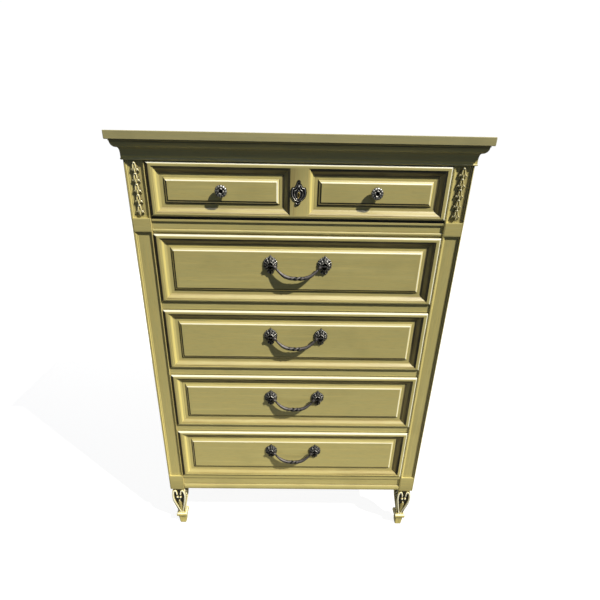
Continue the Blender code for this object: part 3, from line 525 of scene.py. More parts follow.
def drawer_profile(crest_y):
    """From the crest's inner edge: quirk, ogee, flat groove, step and bevel up to the field."""
    rows = list(QUIRK)
    for share, foot, left in zip(np.linspace(0, 1, 17)[1:], OGEE_FOOT_GLAZE_AND_SHADE, OGEE_LEFT_GLAZE_AND_HIGHLIGHT):
        drop = 1.0 + OGEE_DROP * (1 - math.cos(math.pi * share)) / 2
        # The ogee on the right and on top faces away from the light and is painted dark as shade.
        right = 0.9 - 0.45 * step(share, 0.1, 0.5) + 0.3 * step(share, 0.75, 1.0)
        head = 0.85 - 0.28 * step(share, 0.1, 0.5)
        rows.append((OGEE_START + OGEE_WIDTH * share, drop, foot, right, head, left))
    return [([inset * MM * k for k in SIDE_STRETCH], crest_y + drop * MM, glazes)
            for inset, drop, *glazes in rows + GROOVE_AND_BEVEL]


def lip_profile(crest_y, back_y):
    """From the back's edge round the lip to the flat crest. Where it catches the light, on top
    and at the right, the lip is rubbed pale and painted as a highlight; at the bottom and on the
    left, and back in the gap, it is painted dark as shade."""
    # Back in the gap the lip's sides are painted dark as shade; on top the lip is painted pale as a
    # highlight.
    rows = [((0,) * 4, back_y, (0.9,) * 4), ((0,) * 4, crest_y + 9 * MM, (0.9,) * 4),
            ((0,) * 4, crest_y + 6 * MM, (0.9, 0.3, -0.3, 0.9))]
    for share in np.linspace(0, 1, 13):
        turn = QUARTER * share
        # Top and right lip: painted pale as a highlight. Bottom and left lip: painted dark as
        # shade.
        rubbed_and_highlight = 0.1 - 1.2 * (1 - step(share, 0.68, 0.92))
        bottom_shade = 0.75 - 0.6 * step(share, 0.1, 0.5) - 0.1 * step(share, 0.7, 1.0)
        left_shade = 1.05 - 0.85 * step(share, 0.66, 1.0)
        rows.append(([w * MM * (1 - math.cos(turn)) for w in LIP_WIDTHS],
                     crest_y + 5 * MM * (1 - math.sin(turn)), (bottom_shade, rubbed_and_highlight, rubbed_and_highlight, left_shade)))
    for share, glazes in ((0.25, (0,) * 4), (0.7, (0.02,) * 4), (0.92, (0.2, 0.1, 0.1, 0.3))):
        insets = [(w + (c - w) * share) * MM for w, c in zip(LIP_WIDTHS, CREST)]
        rows.append((insets, crest_y, glazes))
    return rows


def drawer_front(number):
    """A lipped front with one sunk panel, or two beside a stile on the top drawer."""
    node = f"drawer_{number}_front"
    low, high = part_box(node)
    shape = Shape()
    rings = framed(shape, (low.x, high.x, low.z, high.z), lip_profile(low.y, high.y))
    shape.face(rings[0])
    x0, x1 = low.x + CREST[3] * MM, high.x - CREST[1] * MM
    z0, z1 = low.z + CREST[0] * MM, high.z - CREST[2] * MM
    spans = [(x0, x1)] if number > 1 else [(x0, -STILE_HALF), (STILE_HALF, x1)]
    inner = [framed(shape, (*span, z0, z1), drawer_profile(low.y), filled=True)[0]
             for span in spans]
    o = rings[-1]
    if number > 1:
        join_rings(shape, [o, inner[0]])
    else:
        a, b = inner
        for slot, *ids in ((0, o[0], o[1], b[1], b[0], a[1], a[0]), (0, o[1], o[2], b[2], b[1]),
                           (1, o[2], o[3], b[3], b[2]), (0, o[3], o[4], b[4], b[3]),
                           (0, o[4], o[5], a[5], a[4], b[5], b[4]), (0, o[5], o[6], a[6], a[5]),
                           (1, o[6], o[7], a[7], a[6]), (0, o[7], o[0], a[0], a[7]),
                           (1, a[1], b[0], b[7], b[6], b[5], a[4], a[3], a[2])):
            shape.face(ids, slot)
    make(node + "_worked", shape, [PAINT["X"], PAINT["Z"]], f"drawer_{number}",
         [node])


# ---- posts, cornice and rails

LOWER_BLOCK, UPPER_BLOCK_HALF, CHANNEL_PAST_CORNICE = 63 * MM, 18.5 * MM, 15 * MM
POST_ROUND = 2.5

# Across a post's face: how far in, how deep at a block and in a channel, and the tone of each:
# dark glazing in the crevices that also paints their shade, and paler slopes painted as highlights
POST_FILLETS = [
    (2.9, 0, 0, 0.1, 0), (3.1, 0.5, 0.1, 0.9, 0.1), (3.4, 0.5, 0.4, 0.95, 0.5),
    (3.75, 0.05, 1.5, 0.35, 0.9), (4.1, 0, 1.7, 0.1, 0.6), (4.8, 0, 2.0, 0, -0.2),
    (7.5, 0, 3.3, 0, -0.35), (7.8, 0, 3.7, 0, 0.5), (7.9, 0, 4.3, 0, 0.95), (8.2, 0, 4.4, 0, 0.4),
    (9.0, 0, 4.8, 0, -0.3), (11.0, 0, 5.5, 0, -0.15), (11.5, 0, 5.6, 0, 0.5),
    (12.8, 0, 5.6, 0, 0.15), (16.0, 0, 5.5, 0, 0)]
# The left post's edge at the drawers: how far in and how deep
POST_CHAMFER = [(0, 50.0), (0, 5.0), (0.3, 4.6), (0.8, 3.9), (1.2, 3.2), (1.6, 2.5), (1.9, 1.8),
                (2.2, 1.1), (2.45, 0.4)]
# At a block's end: how far from the end, and how much lower the block's face is
BLOCK_END = [(5, 0), (1.0, 0), (0.3, 0.25), (0, 0.9)]

# Round the cornice's section: reach, height and tone. The heights are counted down from its
# top, and in the second table up from its foot. Towards its foot the fascia is painted paler,
# and its lower arris pale, as painted light in the cornice's shade.
CORNICE_FILLET = [(0.3, 0, 0.3), (20.4, 0, 0.8), (21.0, 0.5, 0.3), (21.0, 2.5, 0.1),
                  (20.6, 3.0, 0.6), (19.5, 3.0, 0.9)]
CORNICE_FOOT = [(4.0, 4.2, -0.6), (5.0, 2.7, -0.6), (5.0, 1.4, -0.6), (3.67, 0.5, -0.3),
                (3.53, 0, 0.1), (0.3, 0, 0.8)]

# A rail's fillet: depth behind the rail's face, height over the fillet's lower edge and tone;
# it is painted dark under the fillet as glazing and as the fillet's shadow
RAIL_FILLET = [(-3.8, 2, 0.02), (-3.7, 0.4, 0.1), (-3.1, 0, 0.4), (-0.3, -0.1, 0.95),
               (0, -0.5, 0.8), (0, -2, 0.15)]


def post(side):
    """A front post: rounded edges and narrow fillets run its whole height; between them stand
    the two square blocks, with a channel above and below the upper one."""
    node = "front_post_" + ("left" if side < 0 else "right")
    low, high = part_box(node)
    middle = centre("frieze_rail")[2]
    channel_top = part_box("cornice_return_left")[0].z + CHANNEL_PAST_CORNICE
    channels = ((low.z + LOWER_BLOCK, middle - UPPER_BLOCK_HALF),
                (middle + UPPER_BLOCK_HALF, channel_top))
    half = [(0, 50.0, 50.0, 0.3, 0.3), (0, 2.6, 2.6, 0, 0)]
    for share in np.linspace(0, 1, 7):
        drop = POST_ROUND * (1 - math.sin(QUARTER * share))
        half.append((POST_ROUND * (1 - math.cos(QUARTER * share)), drop, drop, -0.15, -0.12))
    half += POST_FILLETS
    # The left post's edge beside the drawers is painted darker as the drawers' shadow; on the right
    # post the slopes of its right-hand edge are painted darker as shade.
    if side < 0:
        far = [(x, depth, depth, 0.32, 0.4) for x, depth in POST_CHAMFER] + half[len(POST_CHAMFER):]
    else:
        far = [(*rest, glaze + 0.5 * (2.9 < rest[0] < 9)) for *rest, glaze in half]
    width = (high.x - low.x) / MM
    columns = half + [(width - x, *rest) for x, *rest in reversed(far)]
    count = len(columns)
    levels = [(low.z, 0.3, 0), (low.z + 0.8 * MM, 0, 0)]
    for z0, z1 in channels:
        levels += [(z0 - off * MM, drop, 0) for off, drop in BLOCK_END]
        levels += [(z0, 0, 1), (z0 + 1.5 * MM, 0, 1), (z1 - 1.5 * MM, 0, 1), (z1, 0, 1)]
        levels += [(z1 + off * MM, drop, 0) for off, drop in reversed(BLOCK_END)]
    levels.append((high.z, 0, 0))
    shape = Shape()
    rows = []
    for z, drop, in_channel in levels:
        row = []
        for index, (x, block_y, channel_y, block_glaze, channel_glaze) in enumerate(columns):
            depth, glaze = (channel_y, channel_glaze) if in_channel else (block_y, block_glaze)
            if not in_channel and 10 <= index < count - 11:
                depth, glaze = depth + drop, glaze - 0.5 * drop
            row.append(shape.point((low.x + x * MM, FACE_Y + depth * MM, z), glaze))
        rows.append(row)
    for (_, _, in_channel), below, above in zip(levels, rows, rows[1:]):
        for c in range(count):
            d = (c + 1) % count
            in_block = not in_channel and 8 < c < count - 9
            shape.face((below[c], below[d], above[d], above[c]), 0 if in_block else 1)
    shape.face(rows[0], 1)
    shape.face(rows[-1], 1)
    make(node + "_worked", shape, [PAINT["X"], PAINT["Z"]], "case", [node])


def extrude(shape, profile, places):
    """A closed profile of (first, second, tone) put through each of the places' functions; the tone
    is glazing together with painted shade and highlights.
    """
    rows = [[place(a, b) for a, b, _ in profile] for place in places]
    first = shape.grid(rows, [[g for _, _, g in profile]] * len(places))
    count = len(profile)
    for row in (0, len(places) - 1):
        for c in range(count):
            shape.crease(first + row * count + c, first + row * count + (c + 1) % count)


def cornice_profile(top, bottom):
    """Reach and height round the cornice's section: fillet, ovolo, cove and plain fascia."""
    rows = list(CORNICE_FILLET)
    for share in np.linspace(0, 1, 15):
        rows.append((8.0 + 11.5 * math.cos(QUARTER * share), 3.0 + 15 * math.sin(QUARTER * share),
                     0.5 * (1 - step(share, 0, 0.25)) + 0.1))
    rows += [(7.8, 18.0, 0.9), (7.5, 18.2, 0.8)]
    for share in np.linspace(0, 1, 11):
        rows.append((7.5 - 3.5 * math.sin(QUARTER * share),
                     18.2 + 13.8 * (1 - math.cos(QUARTER * share)), 0.25 * (1 - share) + 0.05))
    # The fascia is painted paler towards its foot, as painted light in the cornice's shade.
    rows += [(4.0, 36, -0.15), (4.0, 40, -0.45)]
    return ([(reach * MM, top - down * MM, glaze) for reach, down, glaze in rows]
            + [(reach * MM, bottom + up * MM, glaze) for reach, up, glaze in CORNICE_FOOT])


def forward(reach):
    """How far the cornice stands out in front: its fascia is nearly flush with the drawers."""
    if reach >= 7.5 * MM or reach <= 0.3 * MM:
        return reach
    return max(1.2 * MM + (reach - 4 * MM) * 1.8, 0.35 * MM)


def cornice():
    """The cornice's front with the rail behind it, and its two returns."""
    low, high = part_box("cornice_return_left")
    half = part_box("front_post_right")[1].x
    profile = cornice_profile(high.z, low.z)
    shape = Shape()
    extrude(shape, profile, [lambda r, z, s=s: (s * (half + r - 0.3 * MM), FACE_Y - forward(r), z)
                             for s in (-1, 1)])
    frieze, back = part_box("frieze_rail"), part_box("cornice_rail")
    block(shape, (frieze[0].x, FACE_Y - 0.2 * MM, back[0].z),
          (frieze[1].x, back[1].y, back[1].z), 0.3)
    make("cornice_front_worked", shape, [PAINT["X"]], "case", ["cornice_rail"])
    for side, hand in ((-1, "left"), (1, "right")):
        node = "cornice_return_" + hand
        shape = Shape()
        extrude(shape, profile, [
            lambda r, z: (side * (half + r), FACE_Y - forward(r) + 0.3 * MM, z),
            lambda r, z: (side * (half + r), BACK_Y, z)])
        make(node + "_worked", shape, [PAINT["Y"]], "case", [node])


def block(shape, low, high, glaze):
    """A plain box between two corners."""
    (x0, y0, z0), (x1, y1, z1) = low, high
    corners = ((x0, y0), (x1, y0), (x1, y1), (x0, y1))
    ids = [shape.point((x, y, z), glaze) for z in (z0, z1) for x, y in corners]
    for face in ((0, 1, 2, 3), (4, 5, 6, 7), (0, 1, 5, 4), (1, 2, 6, 5), (2, 3, 7, 6),
                 (3, 0, 4, 7)):
        shape.face([ids[i] for i in face])


def rail(node, upper, lower, fillet=None):
    """A rail between the posts. Rows give the depth behind the rail's face, the height and the
    tone, glazing together with painted shade and highlights; heights count down from the rail's
    top in upper and up from its foot in lower.
    fillet is how far below the top the fillet's lower edge lies."""
    low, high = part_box(node)
    front = [(depth, high.z - down * MM, glaze) for depth, down, glaze in upper]
    if fillet:
        edge = high.z - fillet * MM
        front += [(depth, edge + up * MM, glaze) for depth, up, glaze in RAIL_FILLET]
    front += [(depth, low.z + up * MM, glaze) for depth, up, glaze in lower]
    profile = [(high.y, low.z, 0.2), (high.y, high.z, 0.2)]
    profile += [(RAIL_Y + depth * MM, z, glaze) for depth, z, glaze in front]
    shape = Shape()
    extrude(shape, profile, [lambda y, z, x=x: (x, y, z) for x in (low.x, high.x)])
    make(node + "_worked", shape, [PAINT["X"]], "case", [node])


def bead(middle, radius, reach, steps):
    """Rows for a rail's bead, dark above and below it as glazing and painted shade in the creases.
    """
    rows = []
    for share in np.linspace(0, 1, steps + 1):
        t = QUARTER - math.pi * share
        rows.append((-reach * math.cos(t), middle + radius * math.sin(t),
                     (0.8 - 0.55 * share) * abs(2 * share - 1) ** 4))
    return rows


def rails():
    # The rails are painted dark along their edges beside the drawers, as glazing and as the
    # drawers' shadow, and a little paler just above their lower edge as a painted highlight.
    for level in ("upper", "middle", "lower"):
        rail("divider_rail_" + level,
             [(-0.3, 0, 0.6), (-1.15, 0.3, 0.35), (-1.5, 1.2, 0.05), (-1.5, 4, 0)],
             [(-1.5, 6.5, 0), (-1.5, 5, -0.2), (-1.5, 2.2, -0.15), (-1.4, 1.2, 0.2),
              (-1.15, 0.3, 0.6), (-0.3, 0, 0.8)])
    rail("frieze_rail",
         [(0, 0, 1.0), (0, 5.8, 0.95), (-3.2, 6.0, 0.6), (-3.8, 6.5, 0.1), (-3.8, 7.4, 0)],
         [(0, 14.5, 0.05), (0, 12.4, 0.4), *bead(7.5, 4.5, 3.0, 12), (0, 2.4, 0.1), (0, 0, 0.2)],
         fillet=11.8)
    rail("base_rail", [(-3.2, 0, 0.5), (-3.8, 0.6, 0.2), (-3.8, 5, 0)],
         [(0, 26, 0.05), (0, 23.4, 0.5), *bead(11.5, 11.5, 5.5, 20)], fillet=13.5)


# ---- legs

# Half of a leg's carved rib, from its foot over the arch: how far out and how high
LEG_RIB = [(3.0, 58), (6.0, 70), (10.2, 88), (14.6, 108), (18.6, 128), (21.0, 146), (21.0, 160),
           (18.6, 171), (13.4, 177.5), (8.8, 174), (6.8, 167), (6.2, 161)]
RISING_RIB = np.array(LEG_RIB[:8])
# Height and half width of the carved part, then height, half width and tone below and above;
# under the collar and under the block the tone is glazing and painted shade, on the collar's top
# edge a painted highlight
LEG_ENVELOPE = [(56, 13.0), (62.5, 13.2), (77, 15.3), (99, 19.1), (123.6, 23.2), (141.8, 24.76),
                (154.8, 25.0), (166.5, 24.16), (175.6, 22.6), (181.5, 20.4), (186, 18.0)]
LEG_FOOT = [(0, 10.6, 0), (0.4, 11.0, -0.2), (3, 11.2, -0.3), (20, 12.6, -0.25), (36, 14.0, -0.1),
            (38, 14.1, 0.45), (39.6, 14.6, 0.9), (40.4, 15.6, 0.8), (41.2, 17.2, 0.5),
            (42.6, 18.6, 0.1), (45, 19.0, -0.1), (50, 19.0, -0.2), (52.2, 18.7, -0.4),
            (53.6, 17.6, -0.9), (54.6, 15.8, -1.0), (55.3, 14.0, -0.3)]
LEG_HEAD = [(186.6, 20.5, 0.8), (187.4, 21.6, 0.5), (188.5, 22.0, 0.3), (191.7, 22.0, 0.5)]
LEG_CORNER, LEG_SIDE_STEPS, CARVING_DEPTH = 2.6, 52, 5.2


def leg_relief(x, z):
    """Depth of the carving below a leg's face, and its tone, from mm across and up: two ribs
    that rise along the edges, arch over and end in drops, with a pearl and a leaf between. The
    hollows are dark as glazing and painted shade; the ribs, drops and pearl are pale as rubbed
    paint and painted highlights."""
    across = np.abs(x)
    away, where = near_curve(np.stack([across, z], -1), RIB_PATH)
    rib = ridge(away, 2.7 + 1.1 * step(where, 0.0, 0.35) - 0.9 * step(where, 0.78, 0.92))
    drop = ridge(np.hypot(across - 5.4, (z - 147.0) * 0.82), 4.7)
    edge_x = np.interp(z, RISING_RIB[:, 1], RISING_RIB[:, 0])
    inside = (across < edge_x) & (z < 183)
    floor = CARVING_DEPTH * step(z, 56, 64)
    base = np.where(inside | (z > 170), -floor, -3.4 * step(across - edge_x, 0.5, 3.0))
    height = np.maximum(base, -floor + floor * rib)
    height = np.maximum(height, -floor + (floor + 0.2) * drop)
    pearl = ridge(np.hypot(x, z - 129.0), 3.0)
    height = np.maximum(height, -floor + (floor + 0.1) * pearl)
    leaf_half = (8.8 * np.sqrt(np.clip((z - 57) / 62, 0, 1))
                 * np.sqrt(np.clip((124.5 - z) / 10, 0, 1)))
    leaf = np.clip(1 - (across / np.maximum(leaf_half, 0.05)) ** 2, 0, 1)
    vein = 0.82 + 0.18 * np.cos(across * 1.5 + (z - 100) * 0.32)
    height = np.maximum(height, -floor + 4.3 * np.sqrt(leaf) * vein * (leaf_half > 0.1))
    top = step(z, 176, 184)
    height = height * (1 - top) - 1.6 * top
    depth = -np.minimum(height, 0.3)
    # Dark in the deep hollows as glazing and painted shade; pale on the ribs, drops and pearl as
    # rubbed paint and painted highlights; dark under the block.
    glaze = np.clip(step(depth, 0.8, 4.4) * 1.05, 0, 1)
    glaze = glaze - 1.7 * np.clip(rib + drop + pearl - 0.30, 0, 0.62)
    glaze = glaze - 0.15 * np.sqrt(leaf) * (leaf_half > 0.1) * step(z, 60, 100)
    return depth, glaze * (1 - top) + 0.55 * top


RIB_PATH = smooth_path(LEG_RIB, 90)


def leg(node):
    """A square leg with rounded corners, carved alike on its four sides."""
    cx, cy, _ = centre(node)
    heights, halves = zip(*LEG_ENVELOPE)
    carved = [(z, np.interp(z, heights, halves), None) for z in np.arange(56, 186.01, 1.0)]
    rows, glazes = [], []
    for z, half, glaze in LEG_FOOT + carved + LEG_HEAD:
        corner = min(LEG_CORNER, half * 0.25)
        flat = half - corner
        s = np.linspace(-1, 1, LEG_SIDE_STEPS + 1)[:-1] * (flat + corner * math.pi / 4)
        over = np.clip(np.abs(s) - flat, 0, None) / corner
        x = np.sign(s) * np.where(over > 0, flat + corner * np.sin(over), np.abs(s))
        out = np.where(over > 0, flat + corner * np.cos(over), half)
        if glaze is None:
            depth, shade = leg_relief(x, np.full_like(x, z))
            edge = 1 - step(np.abs(x) / half, 0.88, 0.99)
            depth, shade = depth * edge, shade * edge - 0.5 * (1 - edge)
        else:
            depth, shade = 0 * x, np.full_like(x, glaze)
        out = out - depth
        row = []
        for cos, sin in ((1, 0), (0, 1), (-1, 0), (0, -1)):
            px, py = cos * x + sin * out, sin * x - cos * out
            row.append(np.stack([cx + px * MM, cy + py * MM, np.full_like(px, z * MM)], 1))
        rows.append(np.concatenate(row))
        glazes.append(np.tile(shade, 4))
    shape = Shape()
    shape.grid(rows, glazes)
    make(node + "_carved", shape, [PAINT["Z"]], "case", [node], smooth=55)


# ---- garlands

HUSKS, HUSK_PITCH = 5, 26.1
OUT = Vector((0, -1, 0))
# Across a leaf: share of its half width and of its rise, then the tone there: the ridge rubbed
# and painted pale as a highlight, the edges painted dark as shadow
LEAF_SECTION = [(-1.0, -0.3, 1.0), (-0.62, 0.55, 0.55), (-0.2, 0.85, -0.6), (0, 1.0, -1.05),
                (0.2, 0.85, -0.6), (0.62, 0.55, 0.55), (1.0, -0.3, 1.0)]
# A husk's middle leaf and side leaves: base and tip as mm across, out and down, then the
# leaf's width, thickness and bow
MIDDLE_LEAF = ((0, 2.8, 14.0), (0, 2.8, 31.4), 8.2, 4.4, 2.0)
SIDE_LEAVES = [((2.4, 1.8, 3.0), (5.2, 2.4, 24.6), 8.4, 4.8, 2.0),
               ((3.0, 1.6, 13.5), (11.6, 2.8, 23.2), 7.0, 4.2, 1.0),
               ((3.4, 0.8, 6.5), (8.4, 1.0, 15.0), 5.4, 3.2, 0.6)]
BALL_RADII, BALL_RUB_AND_HIGHLIGHT = (3.6 * MM, 3.9 * MM, 3.2 * MM), -1.0


def leaf_blade(shape, base, tip, width, thick, bow):
    """A pointed leaf with a ridge rubbed and painted pale as a highlight and edges painted dark as
    shadow, from base to tip, bowed out from the post.
    """
    base, tip = Vector(base), Vector(tip)
    width, thick, bow = width * MM, thick * MM, bow * MM
    along = tip - base
    side = along.cross(OUT).normalized()
    rows = []
    for t in np.linspace(0, 1, 10):
        half = width * (math.sin(math.pi * min(t * 0.78 + 0.12, 1.0)) ** 0.8) / 2
        half = max(half * (1 - t ** 6), 0.02 * width)
        rise = thick * (1 - 0.5 * t) * max(1 - t ** 6, 0.08)
        middle = base + along * t + OUT * bow * math.sin(math.pi * t * 0.9)
        ring = [middle + side * half * place + OUT * ((rise if lift > 0 else thick) * lift)
                for place, lift, _ in LEAF_SECTION]
        rows.append([tuple(p) for p in ring] + [tuple(middle - OUT * thick * 0.5)])
    shape.grid(rows, [[tone for _, _, tone in LEAF_SECTION] + [1.0]] * len(rows))


def ball(shape, middle, radii, glaze, rings=8, sides=12):
    rows, tones = [], []
    for t in np.linspace(0.02, math.pi - 0.02, rings):
        rows.append([(middle[0] + radii[0] * math.sin(t) * math.cos(a),
                      middle[1] + radii[1] * math.sin(t) * math.sin(a),
                      middle[2] + radii[2] * math.cos(t)) for a in circle(sides)])
        # The ball is painted pale round its sides as rubbed paint and a highlight, and darker at
        # top and bottom as shade.
        tones.append([glaze * math.sin(t) ** 2 + 0.4 * math.cos(t) ** 2] * sides)
    shape.grid(rows, tones)


def garland(side):
    """Husks hanging one from the next, carved on the floor of a post's upper channel."""
    hand = "left" if side < 0 else "right"
    x = centre("front_post_" + hand)[0]
    floor_y = FACE_Y + 5.5 * MM
    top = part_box("cornice_return_left")[0].z - 4 * MM
    shape = Shape()
    for count in range(HUSKS):
        def at(across, off, down):
            return (x + across * MM, floor_y - off * MM, top - (down + HUSK_PITCH * count) * MM)

        ball(shape, at(0, 3.8, 2.7), BALL_RADII, BALL_RUB_AND_HIGHLIGHT)
        base, tip, *size = MIDDLE_LEAF
        leaf_blade(shape, at(*base), at(*tip), *size)
        for turn in (-1, 1):
            for base, tip, *size in SIDE_LEAVES:
                leaf_blade(shape, at(base[0] * turn, *base[1:]), at(tip[0] * turn, *tip[1:]), *size)
    make("garland_" + hand, shape, [PAINT["Z"]], "case", smooth=50)


# ---- pulls

PIVOT_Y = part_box("pull_post_2_left")[0].y + 4.5 * MM
EYE_DROP = 4 * MM
PIN_RADIUS = 1.95 * MM

# Right half outlines from the top, in hundredths of the half width and half height
ROSETTE = [(0, 100), (10, 90), (16, 80), (30, 78), (40, 66), (56, 66), (64, 52), (80, 50),
           (82, 34), (96, 28), (90, 12), (100, 0), (92, -14), (96, -30), (78, -36), (72, -50),
           (56, -50), (44, -58), (50, -70), (42, -82), (26, -86), (14, -80), (10, -92), (0, -100)]
PLATE = [(0, 100), (15, 97), (22, 86), (22, 76), (34, 66), (44, 55), (54, 46), (66, 42),
         (84, 44), (92, 34), (97, 22), (100, 6), (98, -10), (92, -26), (80, -40), (64, -51),
         (46, -58), (32, -64), (26, -72), (32, -80), (26, -90), (12, -97), (0, -100)]
# Section of the eye's ring: radius, place along its axis and glaze
EYE_RING = [(2.25, -1.8, 1.0), (3.0, -2.4, 0.95), (3.8, -2.2, 0.9), (4.1, -1.4, 0.8),
            (4.2, 0, 0.75), (4.1, 1.4, 0.8), (3.8, 2.2, 0.9), (3.0, 2.4, 0.95), (2.25, 1.8, 1.0)]
# The keyhole's liner: half width, half height, rise and glaze
LINER = [(3.0, 7.5, 0.1, 0.7), (3.0, 7.5, 1.9, 0.5), (2.4, 6.9, 2.3, 0.15), (1.7, 6.2, 2.0, 0.3),
         (1.5, 6.0, 0.5, 1.0)]


def closed_outline(half, count):
    """A right half outline closed with its mirror image, as evenly spaced points from the top."""
    loop = half + [(-x, z) for x, z in half[-2:0:-1]] + half[:1]
    return along_line(np.array(loop) / 100, count, endpoint=False)


def radial_plate(shape, outline, middle, size, height, glaze, back_y, rings, inner=0.0,
                 hole=None, start=(0, 0)):
    """A cast plate drawn as rings about its middle, from a hole or a point out to its outline,
    then round the rim to its back. height and glaze are functions of the ring's share."""
    cx, cz = middle
    rows, tones = [], []
    start = np.tile(start, (len(outline), 1)) if hole is None else hole
    for r in np.linspace(inner, 1, rings):
        spot = start + (outline * size - start) * r
        rows.append(np.stack([cx + spot[:, 0], back_y - height(r), cz + spot[:, 1]], 1))
        tones.append(glaze(r))
    rows.append(rows[-1] * (1, 0, 1) + (0, back_y, 0))
    tones.append(np.full(len(outline), 0.9))
    if hole is not None:
        rows.insert(0, rows[0] * (1, 0, 1) + (0, back_y, 0))
        tones.insert(0, np.full(len(outline), 1.0))
    shape.grid(rows, tones, caps=(hole is None, hole is None))


def rod(shape, cx, cz, stops, sides, tone):
    """A bar along Y through stops of (Y, radius)."""
    rows = [[(cx + radius * math.cos(a), y, cz + radius * math.sin(a)) for a in circle(sides)]
            for y, radius in stops]
    shape.grid(rows, [[tone] * sides] * len(stops))


def pull_post(number, hand):
    """A rosette with a deep cup in the middle, which holds the eye for the bail's pin. Behind
    it are the bolt and the nut."""
    node = f"pull_post_{number}_{hand}"
    low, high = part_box(node)
    cx, _, cz = centre(node)
    eye_z = cz - EYE_DROP
    half_width, half_height = (high.x - low.x) / 2, (high.z - low.z) / 2
    outline = closed_outline(ROSETTE, 156)
    angle = np.arctan2(outline[:, 0] * half_width, outline[:, 1] * half_height + EYE_DROP)
    flute = np.abs(np.cos(angle * 6.5)) ** 0.7
    notch = np.exp(-((np.abs(np.abs(angle) - QUARTER)) / 0.30) ** 2)

    def height(r):
        cup = 2.2 + 7.9 * step(r, 0.24, 0.40)
        slope = 10.3 - 8.4 * max(r - 0.40, 0) ** 0.8 / 0.60 ** 0.8
        return (min(cup, slope) + 1.5 * (flute - 0.6) * peak(r, 0.70, 0.20)
                + 0.7 * peak(r, 0.93, 0.05) - 1.0 * peak(r, 0.84, 0.05)
                - 0.9 * peak(r, 0.50, 0.04) - 2.6 * notch * peak(r, 0.40, 0.13)) * MM

    def glaze(r):
        tone = (1.1 - 0.9 * flute * peak(r, 0.70, 0.18)
                - 0.9 * peak(r, 0.94, 0.05) - 0.6 * peak(r, 0.45, 0.06))
        return np.clip(tone, -0.3, 1)

    outline = outline * np.where(outline[:, 1:] < 0, (1.02, 1.18), (1.02, 0.97))
    middle = (cx + (1.2 * MM if hand == "left" else 0), cz - 0.6 * MM)
    shape = Shape()
    radial_plate(shape, outline, middle, (half_width, half_height), height, glaze,
                 FIELD_Y - 0.3 * MM, 34, inner=0.02, start=(-0.5 * MM, -4.5 * MM))
    eye(shape, cx, eye_z)
    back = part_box("drawer_2_front")[1].y
    rod(shape, cx, eye_z, [(FIELD_Y + 0.5 * MM, PIN_RADIUS), (high.y, PIN_RADIUS)], 16, 0.3)
    rod(shape, cx, eye_z, [(back + 0.3 * MM, 4 * MM), (back + 3.3 * MM, 4 * MM)], 6, 0.3)
    make(node + "_cast", shape, [PEWTER], f"drawer_{number}", [node], smooth=45)


def eye(shape, cx, eye_z):
    """The eye in a rosette's cup: a short stem with a ring that the bail's pin goes through."""
    stem = ((1.5, 3.4), (7.6, 3.0), (8.8, 3.0))
    rod(shape, cx, eye_z, [(FIELD_Y - off * MM, radius * MM) for off, radius in stem], 20, 0.95)
    rows = [[(cx + off * MM, PIVOT_Y + radius * MM * math.cos(a), eye_z + radius * MM * math.sin(a))
             for radius, off, _ in EYE_RING] for a in circle(28)]
    tones = [[tone for _, _, tone in EYE_RING]] * len(rows)
    shape.grid(rows, tones, caps=(False, False), loop=True)


def bail(number):
    """A swinging handle: knuckles at its ends, smooth arms and a leafy knot in the middle."""
    node = f"bail_{number}"
    pivot_z = centre(f"pull_post_{number}_left")[2] - EYE_DROP
    knots = [(-64.6, 0, 0.3), (-63.4, 0, -1.2)]
    for share in np.linspace(-1, 1, 41):
        swing = abs(share)
        knots.append((61.5 * share, -6 * (1 - swing ** 2),
                      -33.5 * (1 - swing ** 3) - 3.4 * swing ** 8))
    knots += [(63.4, 0, -1.2), (64.6, 0, 0.3)]
    path = smooth_path(knots, 221)
    shape = Shape()
    rows, tones = [], []
    side = np.array((0.0, 1.0, 0.0))
    for i, spot in enumerate(path):
        ahead = path[min(i + 1, len(path) - 1)] - path[max(i - 1, 0)]
        ahead /= np.linalg.norm(ahead)
        side = side - ahead * (side @ ahead)
        side /= np.linalg.norm(side)
        other = np.cross(ahead, side)
        x = abs(spot[0])
        radius = 3.4 + 2.0 * (1 - step(x, 30, 58))
        knot = math.exp(-(x / 12.0) ** 4)
        collar, leaf = peak(x, 14.8, 1.5), peak(x, 19.5, 3.0)
        knuckle, neck = 1.45 * peak(x, 61.8, 2.4), -0.55 * peak(x, 57.0, 1.4)
        ring, tone = [], []
        for a in circle(24):
            twist, lobes = math.cos(2 * a + spot[0] * 0.42), math.cos(5 * a)
            size = (radius + knot * 0.8 * twist + 0.3 * collar + knuckle + neck
                    + 0.25 * leaf * lobes)
            ring.append((spot + size * (math.cos(a) * side + math.sin(a) * other)) * MM)
            shade = (0.22 + knot * (0.45 - 0.9 * twist) - 0.2 * collar
                     + 0.5 * leaf * (1 - lobes) / 2 - 0.4 * knuckle - 0.8 * neck)
            tone.append(min(max(shade, -0.2), 1))
        rows.append(ring)
        tones.append(tone)
    shape.grid(np.array(rows) + np.array((0, PIVOT_Y, pivot_z)), tones)
    for end in (-1, 1):
        pin = [[(end * x, PIVOT_Y + PIN_RADIUS * math.cos(a), pivot_z + PIN_RADIUS * math.sin(a))
                for a in circle(16)] for x in (0.062, 0.0822, 0.0825)]
        shape.grid(pin, [[0.5] * 16, [0.8] * 16, [0.8] * 16])
    make(node + "_cast", shape, [DULL_PEWTER], node, [node], smooth=60)


